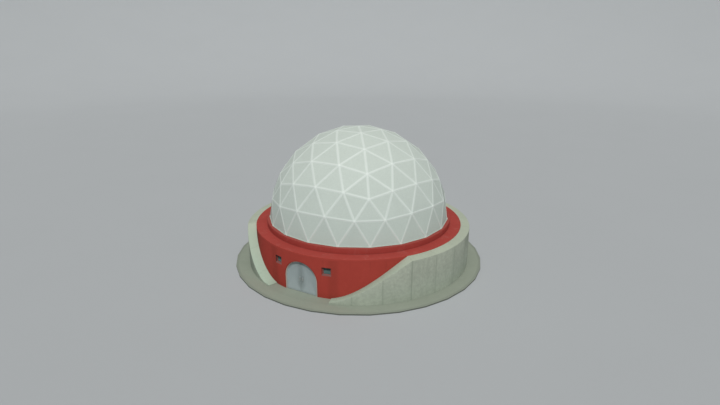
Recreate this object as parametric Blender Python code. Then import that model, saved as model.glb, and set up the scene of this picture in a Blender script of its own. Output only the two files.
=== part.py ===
"""Radar dome: a geodesic radome on a round building, hugged by a concrete ring wall.

Units are metres and +Z is up. The origin is the centre of the plinth's underside, and the
entrance with its double door faces -Y. Angles of the pieces are measured from the door's axis.
"""

import math

import bmesh
import bpy
from mathutils import Matrix, Vector

# Driving dimensions of the building
DOME_RADIUS = 8.0
PLINTH_CORNER_RADIUS = 11.19
PLINTH_THICKNESS = 0.12
PLINTH_SIDES = 32
DRUM_RADIUS = 9.20
DRUM_HEIGHT = 3.39
DRUM_WALL_THICKNESS = 0.35
DRUM_WALL_COUNT = 6
ROOF_THICKNESS = 0.20
ROOF_CHAMFER = 0.03
ROOF_COUNT = 4
CURB_HEIGHT = 0.46
CURB_INNER_RADIUS = 7.70
CURB_OUTER_RADIUS = 8.23
CURB_CHAMFER = 0.04
CURB_COUNT = 2

# Driving dimensions of the ring wall, cast in bays, and of its sloping wings
RING_WALL_THICKNESS = 0.77
RING_WALL_BELOW_ROOF = 0.03
RING_WALL_TOP_FALL = 0.08
RING_WALL_BAYS = (3, 3, 3, 1, 3, 3, 3)
BAY_ANGLE = 40.0 / 3.0
WING_TIP_ANGLE = 50.0 / 3.0
WING_TOP_ANGLE = 160.0 / 3.0
WING_TIP_HEIGHT = 0.08
WING_SAG = 0.68
WING_EDGE_LAG = {"left": 4.5, "right": -1.35}

# Driving dimensions of the dome
DOME_FREQUENCY = 4
DOME_SECTORS = 5
FRAME_BAR_WIDTH = 0.16
FRAME_BAR_DEPTH = 0.05
SHELL_THICKNESS = 0.08

# Driving dimensions of the entrance
ARCH_RADIUS = 1.50
ARCH_SPRINGING = 1.16
ARCH_STEPS = 20
DOOR_FRAME_WIDTH = 0.08
DOOR_FRAME_DEPTH = 0.05
DOOR_REBATE_DISTANCE = 9.02
DOOR_REBATE_HALF_WIDTH = 1.56
DOOR_REBATE_HEIGHT = 2.85
LEAF_THICKNESS = 0.06
LEAF_OVERLAP = 0.05
LEAF_CLEARANCE = 0.006
LEAF_FLOOR_CLEARANCE = 0.012
LEAF_MEETING_GAP = 0.010
HEAD_ANGLE = 11.0
HEAD_BLANK_ANGLE = 40.0 / 3.0
DOOR_SIDE_INNER_ANGLE = 20.0 / 3.0
DOOR_SIDE_ANGLE = 20.0

# Driving dimensions of the hinges and handles
HINGE_RADIUS = 0.02
HINGE_SIDES = 16
HINGE_HEIGHT = 0.10
HINGE_SETBACK = 0.03
HINGE_FEET = (0.18, 0.86)
STRAP_LENGTH = 0.30
HANDLE_PLATE = (0.10, 0.012, 0.34)
HANDLE_INSET = 0.13
HANDLE_MIDDLE = 1.15
HANDLE_REACH = 0.07
HANDLE_GRIP_LENGTH = 0.24
HANDLE_GRIP_RADIUS = 0.012

# Driving dimensions of the windows
WINDOW_ANGLE = 14.3
WINDOW_WIDTH = 0.76
WINDOW_HEIGHT = 0.68
WINDOW_SILL = 1.90
WINDOW_RECESS = 0.14
WINDOW_FRAME_WIDTH = 0.06
WINDOW_FRAME_DEPTH = 0.08
GLASS_THICKNESS = 0.02

# Gap between pieces that touch, and the angle of one straight side of every round piece
GAP = 0.0003
ROUND_STEP = 10.0 / 3.0
SMOOTH_BELOW = 30.0
DOOR_AZIMUTH = -90.0

# How far the cutters reach past the walls, and how close points are welded
CUTTER_MARGIN = 0.4
WINDOW_CUTTER_DEPTH = 1.0
MERGE_DISTANCE = 0.00001

# Sizes that follow from the driving dimensions
FLOOR = PLINTH_THICKNESS
STANDING = FLOOR + GAP
ROOF_TOP = FLOOR + DRUM_HEIGHT
WALL_TOP = ROOF_TOP - ROOF_THICKNESS
CURB_FOOT = ROOF_TOP + GAP
DOME_BASE = ROOF_TOP + CURB_HEIGHT
DRUM_INNER_RADIUS = DRUM_RADIUS - DRUM_WALL_THICKNESS
RING_WALL_INNER = DRUM_RADIUS + GAP
RING_WALL_OUTER = DRUM_RADIUS + RING_WALL_THICKNESS
RING_WALL_TOP = ROOF_TOP - RING_WALL_BELOW_ROOF
SPRINGING = FLOOR + ARCH_SPRINGING
LEAF_RADIUS = ARCH_RADIUS - DOOR_FRAME_WIDTH + LEAF_OVERLAP
LEAF_FRONT = DOOR_REBATE_DISTANCE - LEAF_CLEARANCE
LEAF_BACK = LEAF_FRONT - LEAF_THICKNESS
HINGE_AXIS_X = ARCH_RADIUS
HINGE_AXIS_Y = -(LEAF_BACK - HINGE_SETBACK)


def remove_scene_objects():
    """Empty the scene of every object that it starts with."""
    for old_object in list(bpy.data.objects):
        bpy.data.objects.remove(old_object, do_unlink=True)


def make_collection(name):
    """Return a new collection, linked to the scene."""
    collection = bpy.data.collections.new(name)
    bpy.context.scene.collection.children.link(collection)
    return collection


def make_material(name, colour, roughness, metallic=0.0, alpha=1.0):
    """Return a Principled BSDF material with plain values."""
    material = bpy.data.materials.new(name)
    material.use_nodes = True
    shader = material.node_tree.nodes["Principled BSDF"]
    shader.inputs["Base Color"].default_value = (*colour, 1.0)
    shader.inputs["Roughness"].default_value = roughness
    shader.inputs["Metallic"].default_value = metallic
    shader.inputs["Alpha"].default_value = alpha
    material.diffuse_color = (*colour, alpha)
    return material


def add_object(name, mesh, collection, material=None, smooth=False):
    """Put a mesh in the collection as a named object of one material."""
    new_object = bpy.data.objects.new(name, mesh)
    collection.objects.link(new_object)
    if material is not None:
        mesh.materials.append(material)
    if smooth:
        mesh.shade_smooth()
        mesh.set_sharp_from_angle(angle=math.radians(SMOOTH_BELOW))
    return new_object


def finish_mesh(name, bm):
    """Turn a bmesh into a mesh whose faces point outwards."""
    bmesh.ops.recalc_face_normals(bm, faces=bm.faces)
    mesh = bpy.data.meshes.new(name)
    bm.to_mesh(mesh)
    bm.free()
    return mesh


def azimuth_of(angle):
    """Turn an angle from the door's axis into an azimuth from +X, in radians."""
    return math.radians(DOOR_AZIMUTH + angle)


def on_circle(radius, angle, height):
    """Return the point at a radius and an angle from the door's axis."""
    azimuth = azimuth_of(angle)
    return Vector((radius * math.cos(azimuth), radius * math.sin(azimuth), height))


def sector_mesh(name, profile, start, end):
    """Spin a closed profile of (radius, height) points from one angle to another.

    Half a gap is left at both ends, so that neighbours stay clear of each other.
    """
    mean_radius = sum(radius for radius, _ in profile) / len(profile)
    end_gap = math.degrees(GAP / 2.0 / mean_radius)
    bm = bmesh.new()
    corners = [bm.verts.new(on_circle(radius, start + end_gap, height)) for radius, height in profile]
    bm.faces.new(corners)
    bmesh.ops.spin(
        bm,
        geom=bm.verts[:] + bm.edges[:] + bm.faces[:],
        cent=(0.0, 0.0, 0.0),
        axis=(0.0, 0.0, 1.0),
        angle=math.radians(end - start - 2.0 * end_gap),
        steps=round((end - start) / ROUND_STEP),
    )
    return finish_mesh(name, bm)


def box_mesh(name, low, high):
    """Return a box between two corners."""
    bm = bmesh.new()
    bmesh.ops.create_cube(bm, size=1.0)
    size = Vector(high) - Vector(low)
    middle = (Vector(high) + Vector(low)) / 2.0
    placing = Matrix.Translation(middle) @ Matrix.Diagonal((*size, 1.0))
    bmesh.ops.transform(bm, matrix=placing, verts=bm.verts)
    return finish_mesh(name, bm)


def outline_mesh(name, outline, front, back):
    """Extrude a flat outline of (x, z) points between two distances in front of the centre."""
    curve = bpy.data.curves.new(name, "CURVE")
    curve.dimensions = "2D"
    curve.fill_mode = "BOTH"
    curve.extrude = (front - back) / 2.0
    spline = curve.splines.new("POLY")
    spline.points.add(len(outline) - 1)
    for point, (x, z) in zip(spline.points, outline):
        point.co = (x, z, 0.0, 1.0)
    spline.use_cyclic_u = True
    forward = Matrix.Translation((0.0, -(front + back) / 2.0, 0.0))
    upright = Matrix.Rotation(math.radians(90.0), 4, "X")
    return mesh_of_curve(name, curve, forward @ upright)


def mesh_of_curve(name, curve, matrix):
    """Return the closed mesh of a curve, with its caps welded to its sides."""
    guide = bpy.data.objects.new(name, curve)
    bpy.context.scene.collection.objects.link(guide)
    depsgraph = bpy.context.evaluated_depsgraph_get()
    raw_mesh = bpy.data.meshes.new_from_object(guide.evaluated_get(depsgraph))
    bm = bmesh.new()
    bm.from_mesh(raw_mesh)
    bmesh.ops.transform(bm, matrix=matrix, verts=bm.verts)
    bmesh.ops.remove_doubles(bm, verts=bm.verts, dist=MERGE_DISTANCE)
    bpy.data.objects.remove(guide, do_unlink=True)
    bpy.data.curves.remove(curve)
    bpy.data.meshes.remove(raw_mesh)
    return finish_mesh(name, bm)


def add_cutter(name, mesh, cutters):
    """Add a helper solid that only serves Boolean modifiers."""
    cutter = add_object(name, mesh, cutters)
    cutter.hide_render = True
    cutter.display_type = "WIRE"
    return cutter


def add_boolean(target, helper, operation="DIFFERENCE"):
    """Cut, join or intersect an object with a helper solid."""
    modifier = target.modifiers.new(helper.name, "BOOLEAN")
    modifier.operation = operation
    modifier.solver = "EXACT"
    modifier.object = helper


def rectangle(inner, outer, bottom, top):
    """Return the four profile points of a plain wall or slab."""
    return [(inner, bottom), (outer, bottom), (outer, top), (inner, top)]


def chamfered(inner, outer, bottom, top, chamfer):
    """Return a wall profile whose outer top edge is chamfered."""
    return [
        (inner, bottom),
        (outer, bottom),
        (outer, top - chamfer),
        (outer - chamfer, top),
        (inner, top),
    ]


def arch_outline(radius, foot, steps=ARCH_STEPS):
    """Return a doorway outline: two upright sides and a half circle, from right foot to left foot."""
    outline = [(radius, foot)]
    for step in range(steps + 1):
        angle = math.pi * step / steps
        outline.append((radius * math.cos(angle), SPRINGING + radius * math.sin(angle)))
    outline.append((-radius, foot))
    return outline


def icosahedron_corners():
    """Return the apex, upper ring and lower ring of a unit icosahedron, turned to the door."""
    ring_height = 1.0 / math.sqrt(5.0)
    ring_radius = 2.0 / math.sqrt(5.0)
    half_turn = 180.0 / DOME_SECTORS
    apex = Vector((0.0, 0.0, 1.0))
    upper = [on_circle(ring_radius, half_turn * (2 * k + 1), ring_height) for k in range(DOME_SECTORS)]
    lower = [on_circle(ring_radius, half_turn * (2 * k + 2), -ring_height) for k in range(DOME_SECTORS)]
    return apex, upper, lower


def add_triangle_rows(bm, first, left, right, rows):
    """Divide an icosahedron face into triangles on the unit sphere, row by row from one corner."""
    def corner(row, place):
        share = Vector(first) * (DOME_FREQUENCY - row) + Vector(left) * (row - place) + Vector(right) * place
        return (share / DOME_FREQUENCY).normalized()

    for row in rows:
        for place in range(row + 1):
            lower_pair = (corner(row + 1, place), corner(row + 1, place + 1))
            bm.faces.new([bm.verts.new(point) for point in (corner(row, place), *lower_pair)])
            if place < row:
                upper_pair = (corner(row, place + 1), corner(row, place))
                bm.faces.new([bm.verts.new(point) for point in (*upper_pair, lower_pair[1])])


def gore_bmesh(radius, sectors):
    """Return the geodesic panels of some sectors of the half sphere, welded, on the dome's base."""
    apex, upper, lower = icosahedron_corners()
    half_rows = range(DOME_FREQUENCY // 2)
    bm = bmesh.new()
    for k in sectors:
        after = (k + 1) % DOME_SECTORS
        add_triangle_rows(bm, apex, upper[k], upper[after], range(DOME_FREQUENCY))
        add_triangle_rows(bm, lower[k], upper[after], upper[k], range(DOME_FREQUENCY // 2, DOME_FREQUENCY))
        add_triangle_rows(bm, upper[k], lower[k - 1], lower[k], half_rows)
    bmesh.ops.remove_doubles(bm, verts=bm.verts, dist=MERGE_DISTANCE)
    bmesh.ops.scale(bm, vec=(radius, radius, radius), verts=bm.verts)
    bmesh.ops.recalc_face_normals(bm, faces=bm.faces)
    return bm


def thicken_inwards(bm, depth, radius):
    """Make an open spherical surface solid, towards the centre of the sphere."""
    extruded = bmesh.ops.extrude_face_region(bm, geom=bm.faces[:])
    inner = [element for element in extruded["geom"] if isinstance(element, bmesh.types.BMVert)]
    factor = (radius - depth) / radius
    bmesh.ops.scale(bm, vec=(factor, factor, factor), verts=inner)
    bmesh.ops.translate(bm, vec=(0.0, 0.0, DOME_BASE + GAP), verts=bm.verts)


def build_plinth(parts, material):
    """Build the round slab that the whole building stands on."""
    bm = bmesh.new()
    bmesh.ops.create_cone(
        bm,
        cap_ends=True,
        segments=PLINTH_SIDES,
        radius1=PLINTH_CORNER_RADIUS,
        radius2=PLINTH_CORNER_RADIUS,
        depth=PLINTH_THICKNESS,
    )
    bmesh.ops.translate(bm, vec=(0.0, 0.0, PLINTH_THICKNESS / 2.0), verts=bm.verts)
    add_object("plinth", finish_mesh("plinth", bm), parts, material)


def build_drum_walls(parts, material):
    """Build the plain wall segments, from one side of the entrance round to the other."""
    profile = rectangle(DRUM_INNER_RADIUS, DRUM_RADIUS, STANDING, WALL_TOP - GAP)
    span = (360.0 - 2.0 * DOOR_SIDE_ANGLE) / DRUM_WALL_COUNT
    for index in range(DRUM_WALL_COUNT):
        start = DOOR_SIDE_ANGLE + span * index
        name = f"drum_wall_{index + 1}"
        add_object(name, sector_mesh(name, profile, start, start + span), parts, material, smooth=True)


def doorway_cutters(cutters):
    """Return the solids of the arched doorway and of the square recess behind it."""
    below_floor = -CUTTER_MARGIN
    outline = arch_outline(ARCH_RADIUS, below_floor)
    outside = DRUM_RADIUS + CUTTER_MARGIN
    inside = DRUM_INNER_RADIUS - CUTTER_MARGIN
    arch = outline_mesh("doorway_arch", outline, outside, inside)
    rebate = box_mesh(
        "doorway_rebate",
        (-DOOR_REBATE_HALF_WIDTH, -DOOR_REBATE_DISTANCE, below_floor),
        (DOOR_REBATE_HALF_WIDTH, -DRUM_INNER_RADIUS + 2.0 * CUTTER_MARGIN, FLOOR + DOOR_REBATE_HEIGHT),
    )
    return [add_cutter("doorway_arch", arch, cutters), add_cutter("doorway_rebate", rebate, cutters)]


def window_matrix(angle):
    """Return the placing of a window: x along the wall, y outwards, z up, at the glass's centre."""
    azimuth = azimuth_of(angle)
    distance = DRUM_RADIUS - WINDOW_RECESS - WINDOW_FRAME_DEPTH / 2.0
    middle = on_circle(distance, angle, FLOOR + WINDOW_SILL + WINDOW_HEIGHT / 2.0)
    return Matrix.Translation(middle) @ Matrix.Rotation(azimuth - math.pi / 2.0, 4, "Z")


def centred_box(name, width, depth, height, matrix):
    """Return a box around the origin, moved into place."""
    half = Vector((width, depth, height)) / 2.0
    mesh = box_mesh(name, -half, half)
    mesh.transform(matrix)
    return mesh


def build_front_walls(parts, cutters, material):
    """Build the wall beside and over the doorway, with the doorway and the windows cut through."""
    doorway = doorway_cutters(cutters)
    outside = DRUM_RADIUS + CUTTER_MARGIN
    inside = DRUM_INNER_RADIUS - CUTTER_MARGIN
    above = WALL_TOP + CUTTER_MARGIN
    profile = rectangle(DRUM_INNER_RADIUS, DRUM_RADIUS, STANDING, WALL_TOP - GAP)
    head_edge = math.degrees(GAP / DRUM_RADIUS)

    head_mesh = sector_mesh("wall_over_door", profile, -HEAD_BLANK_ANGLE, HEAD_BLANK_ANGLE)
    head = add_object("wall_over_door", head_mesh, parts, material, smooth=True)
    kept = rectangle(inside, outside, SPRINGING + GAP, above)
    head_zone = sector_mesh("head_zone", kept, -HEAD_ANGLE, HEAD_ANGLE)
    add_boolean(head, add_cutter("head_zone", head_zone, cutters), "INTERSECT")

    cut = rectangle(inside, outside, SPRINGING, above)
    cleared = sector_mesh("side_notch", cut, -HEAD_ANGLE - head_edge, HEAD_ANGLE + head_edge)
    side_notch = add_cutter("side_notch", cleared, cutters)
    for side, sign in (("left", -1.0), ("right", 1.0)):
        name = f"wall_{side}_of_door"
        ends = sorted((sign * DOOR_SIDE_INNER_ANGLE, sign * DOOR_SIDE_ANGLE))
        wall = add_object(name, sector_mesh(name, profile, *ends), parts, material, smooth=True)
        hole_name = f"window_hole_{side}"
        matrix = window_matrix(sign * WINDOW_ANGLE)
        hole = centred_box(hole_name, WINDOW_WIDTH, WINDOW_CUTTER_DEPTH, WINDOW_HEIGHT, matrix)
        add_boolean(wall, side_notch)
        add_boolean(wall, add_cutter(hole_name, hole, cutters))
        for cutter in doorway:
            add_boolean(wall, cutter)
    for cutter in doorway:
        add_boolean(head, cutter)


def build_roof(parts, material):
    """Build the flat ring roof of the drum in quarters."""
    profile = chamfered(CURB_INNER_RADIUS, DRUM_RADIUS, WALL_TOP, ROOF_TOP, ROOF_CHAMFER)
    span = 360.0 / ROOF_COUNT
    for index in range(ROOF_COUNT):
        name = f"roof_ring_{index + 1}"
        start = span * index
        add_object(name, sector_mesh(name, profile, start, start + span), parts, material, smooth=True)


def build_curb(parts, material):
    """Build the upstand that carries the dome in two halves."""
    profile = chamfered(CURB_INNER_RADIUS, CURB_OUTER_RADIUS, CURB_FOOT, DOME_BASE, CURB_CHAMFER)
    span = 360.0 / CURB_COUNT
    for index in range(CURB_COUNT):
        name = f"dome_curb_{index + 1}"
        start = span * index
        add_object(name, sector_mesh(name, profile, start, start + span), parts, material, smooth=True)


def build_ring_wall(parts, material):
    """Build the level part of the ring wall: three long segments on each side of a short one."""
    profile = [
        (RING_WALL_INNER, STANDING),
        (RING_WALL_OUTER, STANDING),
        (RING_WALL_OUTER, RING_WALL_TOP - RING_WALL_TOP_FALL),
        (RING_WALL_INNER, RING_WALL_TOP),
    ]
    start = WING_TOP_ANGLE
    for index, bays in enumerate(RING_WALL_BAYS):
        end = start + bays * BAY_ANGLE
        name = f"ring_wall_{index + 1}"
        add_object(name, sector_mesh(name, profile, start, end), parts, material, smooth=True)
        start = end


def wing_height(share, full_top):
    """Return the height of a wing's top edge at a share of its length, rising slowly at first."""
    tip = FLOOR + WING_TIP_HEIGHT
    return tip + (full_top - tip) * (share - WING_SAG * share * (1.0 - share) ** 2)


def build_wings(parts, material):
    """Build the two ends of the ring wall, whose tops slope down to the plinth.

    The outer top edge lags behind the inner one by an angle that fades out at the full height.
    """
    flat_top = FLOOR + WING_TIP_HEIGHT
    profile = rectangle(RING_WALL_INNER, RING_WALL_OUTER, STANDING, flat_top)
    middle_radius = (RING_WALL_INNER + RING_WALL_OUTER) / 2.0
    span = WING_TOP_ANGLE - WING_TIP_ANGLE
    for side, sign in (("left", -1.0), ("right", 1.0)):
        name = f"ring_wing_{side}"
        ends = sorted((sign * WING_TIP_ANGLE, sign * WING_TOP_ANGLE))
        mesh = sector_mesh(name, profile, *ends)
        for vertex in mesh.vertices:
            if vertex.co.z < flat_top - GAP:
                continue
            angle = abs(math.degrees(math.atan2(vertex.co.x, -vertex.co.y)))
            share = (angle - WING_TIP_ANGLE) / span
            if vertex.co.xy.length > middle_radius:
                share -= WING_EDGE_LAG[side] / span * (1.0 - share)
                vertex.co.z = wing_height(max(share, 0.0), RING_WALL_TOP - RING_WALL_TOP_FALL)
            else:
                vertex.co.z = wing_height(share, RING_WALL_TOP)
        add_object(name, mesh, parts, material, smooth=True)


def build_dome_frame(parts, material):
    """Build the lattice of flat bars along every edge of the geodesic half sphere."""
    bm = gore_bmesh(DOME_RADIUS, range(DOME_SECTORS))
    panels = bm.faces[:]
    bmesh.ops.inset_individual(bm, faces=panels, thickness=FRAME_BAR_WIDTH / 2.0, use_even_offset=True)
    bmesh.ops.delete(bm, geom=panels, context="FACES")
    thicken_inwards(bm, FRAME_BAR_DEPTH, DOME_RADIUS)
    add_object("dome_frame", finish_mesh("dome_frame", bm), parts, material)


def build_dome_shell(parts, material):
    """Build the panels under the frame as five alike gores that meet along panel edges."""
    outer_radius = DOME_RADIUS - FRAME_BAR_DEPTH - GAP
    bm = gore_bmesh(outer_radius, [0])
    rim = bmesh.ops.inset_region(
        bm,
        faces=bm.faces[:],
        thickness=GAP / 2.0,
        use_boundary=True,
        use_even_offset=True,
    )
    bmesh.ops.delete(bm, geom=rim["faces"], context="FACES")
    thicken_inwards(bm, SHELL_THICKNESS, outer_radius)
    mesh = finish_mesh("dome_shell", bm)
    mesh.materials.append(material)
    for index in range(DOME_SECTORS):
        gore = add_object(f"dome_shell_{index + 1}", mesh, parts)
        gore.rotation_euler.z = math.radians(360.0 / DOME_SECTORS * index)


def build_door_frame(parts, material):
    """Build the arched frame that the leaves close against."""
    outer = arch_outline(ARCH_RADIUS - GAP, STANDING)
    inner = arch_outline(ARCH_RADIUS - DOOR_FRAME_WIDTH, STANDING)
    front = DOOR_REBATE_DISTANCE + DOOR_FRAME_DEPTH
    mesh = outline_mesh("door_frame", outer + inner[::-1], front, DOOR_REBATE_DISTANCE)
    add_object("door_frame", mesh, parts, material, smooth=True)


def leaf_outline():
    """Return the outline of the right leaf, from its foot at the meeting line and back to it."""
    foot = FLOOR + LEAF_FLOOR_CLEARANCE
    meeting = LEAF_MEETING_GAP / 2.0
    steps = ARCH_STEPS // 2
    crown_angle = math.acos(meeting / LEAF_RADIUS)
    outline = [(meeting, foot), (LEAF_RADIUS, foot)]
    for step in range(steps + 1):
        angle = crown_angle * step / steps
        outline.append((LEAF_RADIUS * math.cos(angle), SPRINGING + LEAF_RADIUS * math.sin(angle)))
    return outline


def hinge_barrel(name, foot):
    """Return one barrel on the right hinge axis."""
    bm = bmesh.new()
    bmesh.ops.create_cone(
        bm,
        cap_ends=True,
        segments=HINGE_SIDES,
        radius1=HINGE_RADIUS,
        radius2=HINGE_RADIUS,
        depth=HINGE_HEIGHT,
    )
    middle = (HINGE_AXIS_X, HINGE_AXIS_Y, foot + HINGE_HEIGHT / 2.0)
    bmesh.ops.translate(bm, vec=middle, verts=bm.verts)
    return finish_mesh(name, bm)


def mirrored(mesh, sign):
    """Return the mesh as it is for the right side, or turned over for the left side."""
    if sign < 0.0:
        mesh.transform(Matrix.Diagonal((-1.0, 1.0, 1.0, 1.0)))
        mesh.flip_normals()
    return mesh


def build_leaf(side, sign, parts, cutters, material):
    """Build one leaf with its hinge straps and upper barrels, with its origin on the hinge axis."""
    name = f"door_leaf_{side}"
    leaf_mesh = mirrored(outline_mesh(name, leaf_outline(), LEAF_FRONT, LEAF_BACK), sign)
    leaf = add_object(name, leaf_mesh, parts, material)
    for index, hinge_foot in enumerate(HINGE_FEET):
        foot = FLOOR + hinge_foot + HINGE_HEIGHT + GAP
        strap_name = f"strap_{side}_{index + 1}"
        strap = box_mesh(
            strap_name,
            (HINGE_AXIS_X - STRAP_LENGTH, -LEAF_BACK - LEAF_THICKNESS / 2.0, foot),
            (HINGE_AXIS_X, HINGE_AXIS_Y, foot + HINGE_HEIGHT),
        )
        add_boolean(leaf, add_cutter(strap_name, mirrored(strap, sign), cutters), "UNION")
        barrel_name = f"barrel_{side}_{index + 1}"
        barrel = mirrored(hinge_barrel(barrel_name, foot), sign)
        add_boolean(leaf, add_cutter(barrel_name, barrel, cutters), "UNION")
    hinge = Vector((sign * HINGE_AXIS_X, HINGE_AXIS_Y, FLOOR))
    leaf_mesh.transform(Matrix.Translation(-hinge))
    leaf.location = hinge
    return leaf


def build_hinge(side, sign, index, parts, cutters, material):
    """Build the fixed half of a hinge: a lower barrel on a block that sits in the rebate."""
    name = f"door_hinge_{side}_{index + 1}"
    foot = FLOOR + HINGE_FEET[index]
    block = box_mesh(
        name,
        (HINGE_AXIS_X, -DOOR_REBATE_DISTANCE + GAP, foot),
        (DOOR_REBATE_HALF_WIDTH - GAP, HINGE_AXIS_Y, foot + HINGE_HEIGHT),
    )
    hinge = add_object(name, mirrored(block, sign), parts, material)
    barrel_name = f"lower_barrel_{side}_{index + 1}"
    barrel = mirrored(hinge_barrel(barrel_name, foot), sign)
    add_boolean(hinge, add_cutter(barrel_name, barrel, cutters), "UNION")


def handle_grip(name, middle_x, front):
    """Return the bent rod of a pull handle, standing out from its plate."""
    curve = bpy.data.curves.new(name, "CURVE")
    curve.dimensions = "3D"
    curve.bevel_depth = HANDLE_GRIP_RADIUS
    curve.bevel_resolution = 2
    curve.use_fill_caps = True
    half = HANDLE_GRIP_LENGTH / 2.0
    corner = HANDLE_REACH / 2.0
    sunk = HANDLE_PLATE[1] / 2.0
    middle_z = FLOOR + HANDLE_MIDDLE
    path = [
        (-sunk, -half),
        (corner, -half),
        (HANDLE_REACH, -half + corner),
        (HANDLE_REACH, half - corner),
        (corner, half),
        (-sunk, half),
    ]
    spline = curve.splines.new("POLY")
    spline.points.add(len(path) - 1)
    for point, (out, up) in zip(spline.points, path):
        point.co = (middle_x, -front - out, middle_z + up, 1.0)
    return mesh_of_curve(name, curve, Matrix.Identity(4))


def build_handle(side, sign, leaf, parts, cutters, material):
    """Build the pull handle of one leaf and hang it on the leaf."""
    name = f"door_handle_{side}"
    plate_width, plate_depth, plate_height = HANDLE_PLATE
    middle_z = FLOOR + HANDLE_MIDDLE
    back = LEAF_FRONT + GAP
    front = back + plate_depth
    low = (HANDLE_INSET - plate_width / 2.0, -front, middle_z - plate_height / 2.0)
    high = (HANDLE_INSET + plate_width / 2.0, -back, middle_z + plate_height / 2.0)
    plate_mesh = mirrored(box_mesh(name, low, high), sign)
    handle = add_object(name, plate_mesh, parts, material)
    grip_name = f"grip_{side}"
    grip = mirrored(handle_grip(grip_name, HANDLE_INSET, front), sign)
    add_boolean(handle, add_cutter(grip_name, grip, cutters), "UNION")
    plate_mesh.transform(Matrix.Translation(-leaf.location))
    handle.parent = leaf


def build_window(side, sign, parts, cutters, frame_material, glass_material):
    """Build the frame and the sheet of glass of one window."""
    matrix = window_matrix(sign * WINDOW_ANGLE)
    clear = 2.0 * GAP
    opening_width = WINDOW_WIDTH - 2.0 * WINDOW_FRAME_WIDTH
    opening_height = WINDOW_HEIGHT - 2.0 * WINDOW_FRAME_WIDTH
    name = f"window_frame_{side}"
    mesh = centred_box(name, WINDOW_WIDTH - clear, WINDOW_FRAME_DEPTH, WINDOW_HEIGHT - clear, matrix)
    frame = add_object(name, mesh, parts, frame_material)
    light_name = f"window_light_{side}"
    light = centred_box(light_name, opening_width, WINDOW_CUTTER_DEPTH, opening_height, matrix)
    add_boolean(frame, add_cutter(light_name, light, cutters))
    name = f"window_glass_{side}"
    mesh = centred_box(name, opening_width - clear, GLASS_THICKNESS, opening_height - clear, matrix)
    add_object(name, mesh, parts, glass_material)


def build_entrance(parts, cutters, steel, door_paint, glass):
    """Build the door frame, both leaves with hinges and handles, and both windows."""
    build_door_frame(parts, door_paint["frame"])
    for side, sign in (("left", -1.0), ("right", 1.0)):
        leaf = build_leaf(side, sign, parts, cutters, door_paint["leaf"])
        build_handle(side, sign, leaf, parts, cutters, steel["handle"])
        for index in range(len(HINGE_FEET)):
            build_hinge(side, sign, index, parts, cutters, steel["hinge"])
        build_window(side, sign, parts, cutters, door_paint["window_frame"], glass)


def main():
    """Build the whole radar dome."""
    remove_scene_objects()
    parts = make_collection("radar_dome")
    cutters = make_collection("cutters")
    red_render = make_material("red_render", (0.30, 0.045, 0.040), 0.85)
    roof_paint = make_material("roof_paint", (0.34, 0.060, 0.055), 0.80)
    concrete = make_material("concrete", (0.33, 0.37, 0.31), 0.90)
    plinth_concrete = make_material("plinth_concrete", (0.25, 0.29, 0.23), 0.90)
    frame_paint = make_material("frame_paint", (0.66, 0.74, 0.68), 0.60)
    shell_paint = make_material("shell_paint", (0.50, 0.58, 0.52), 0.60)
    steel = {
        "handle": make_material("handle_steel", (0.55, 0.56, 0.56), 0.35, metallic=1.0),
        "hinge": make_material("hinge_steel", (0.20, 0.21, 0.22), 0.50, metallic=1.0),
    }
    door_paint = {
        "frame": make_material("door_frame_paint", (0.30, 0.34, 0.34), 0.55),
        "leaf": make_material("door_leaf_paint", (0.24, 0.29, 0.30), 0.50),
        "window_frame": make_material("window_frame_paint", (0.06, 0.09, 0.09), 0.55),
    }
    glass = make_material("window_glass", (0.06, 0.16, 0.16), 0.10, alpha=0.5)

    build_plinth(parts, plinth_concrete)
    build_drum_walls(parts, red_render)
    build_front_walls(parts, cutters, red_render)
    build_roof(parts, roof_paint)
    build_curb(parts, roof_paint)
    build_ring_wall(parts, concrete)
    build_wings(parts, concrete)
    build_dome_frame(parts, frame_paint)
    build_dome_shell(parts, shell_paint)
    build_entrance(parts, cutters, steel, door_paint, glass)


main()
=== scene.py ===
"""Looks of the radar dome: a geodesic radome on a round red building with a concrete ring wall.

Every surface is worked out with numpy in metres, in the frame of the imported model: +Z up, the
double door facing -Y, and the origin at the centre of the plinth's underside. Angles of the round
pieces are in degrees from the door's axis, positive towards +X.
"""

import logging
import math
from collections.abc import Callable
from dataclasses import dataclass, field
from enum import Enum

import bmesh
import bpy
import numpy as np
from mathutils import Euler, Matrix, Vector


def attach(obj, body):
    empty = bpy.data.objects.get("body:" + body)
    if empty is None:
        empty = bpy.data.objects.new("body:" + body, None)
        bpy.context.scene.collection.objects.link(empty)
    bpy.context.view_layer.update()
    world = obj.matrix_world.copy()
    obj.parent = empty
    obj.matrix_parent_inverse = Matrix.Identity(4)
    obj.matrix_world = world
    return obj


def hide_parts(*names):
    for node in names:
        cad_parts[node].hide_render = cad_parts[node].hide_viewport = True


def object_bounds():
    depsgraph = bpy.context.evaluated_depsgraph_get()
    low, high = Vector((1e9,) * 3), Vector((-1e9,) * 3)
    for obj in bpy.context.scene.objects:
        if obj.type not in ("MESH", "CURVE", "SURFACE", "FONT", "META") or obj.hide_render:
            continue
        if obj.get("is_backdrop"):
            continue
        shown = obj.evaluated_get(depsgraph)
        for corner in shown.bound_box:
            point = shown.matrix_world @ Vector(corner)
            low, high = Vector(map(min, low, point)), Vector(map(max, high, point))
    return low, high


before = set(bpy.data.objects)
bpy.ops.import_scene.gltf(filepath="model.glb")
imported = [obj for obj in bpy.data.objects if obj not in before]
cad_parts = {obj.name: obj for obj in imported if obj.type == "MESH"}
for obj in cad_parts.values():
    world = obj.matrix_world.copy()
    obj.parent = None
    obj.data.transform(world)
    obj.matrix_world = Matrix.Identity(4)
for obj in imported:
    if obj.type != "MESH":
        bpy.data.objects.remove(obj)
CAD_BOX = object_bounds()
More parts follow.
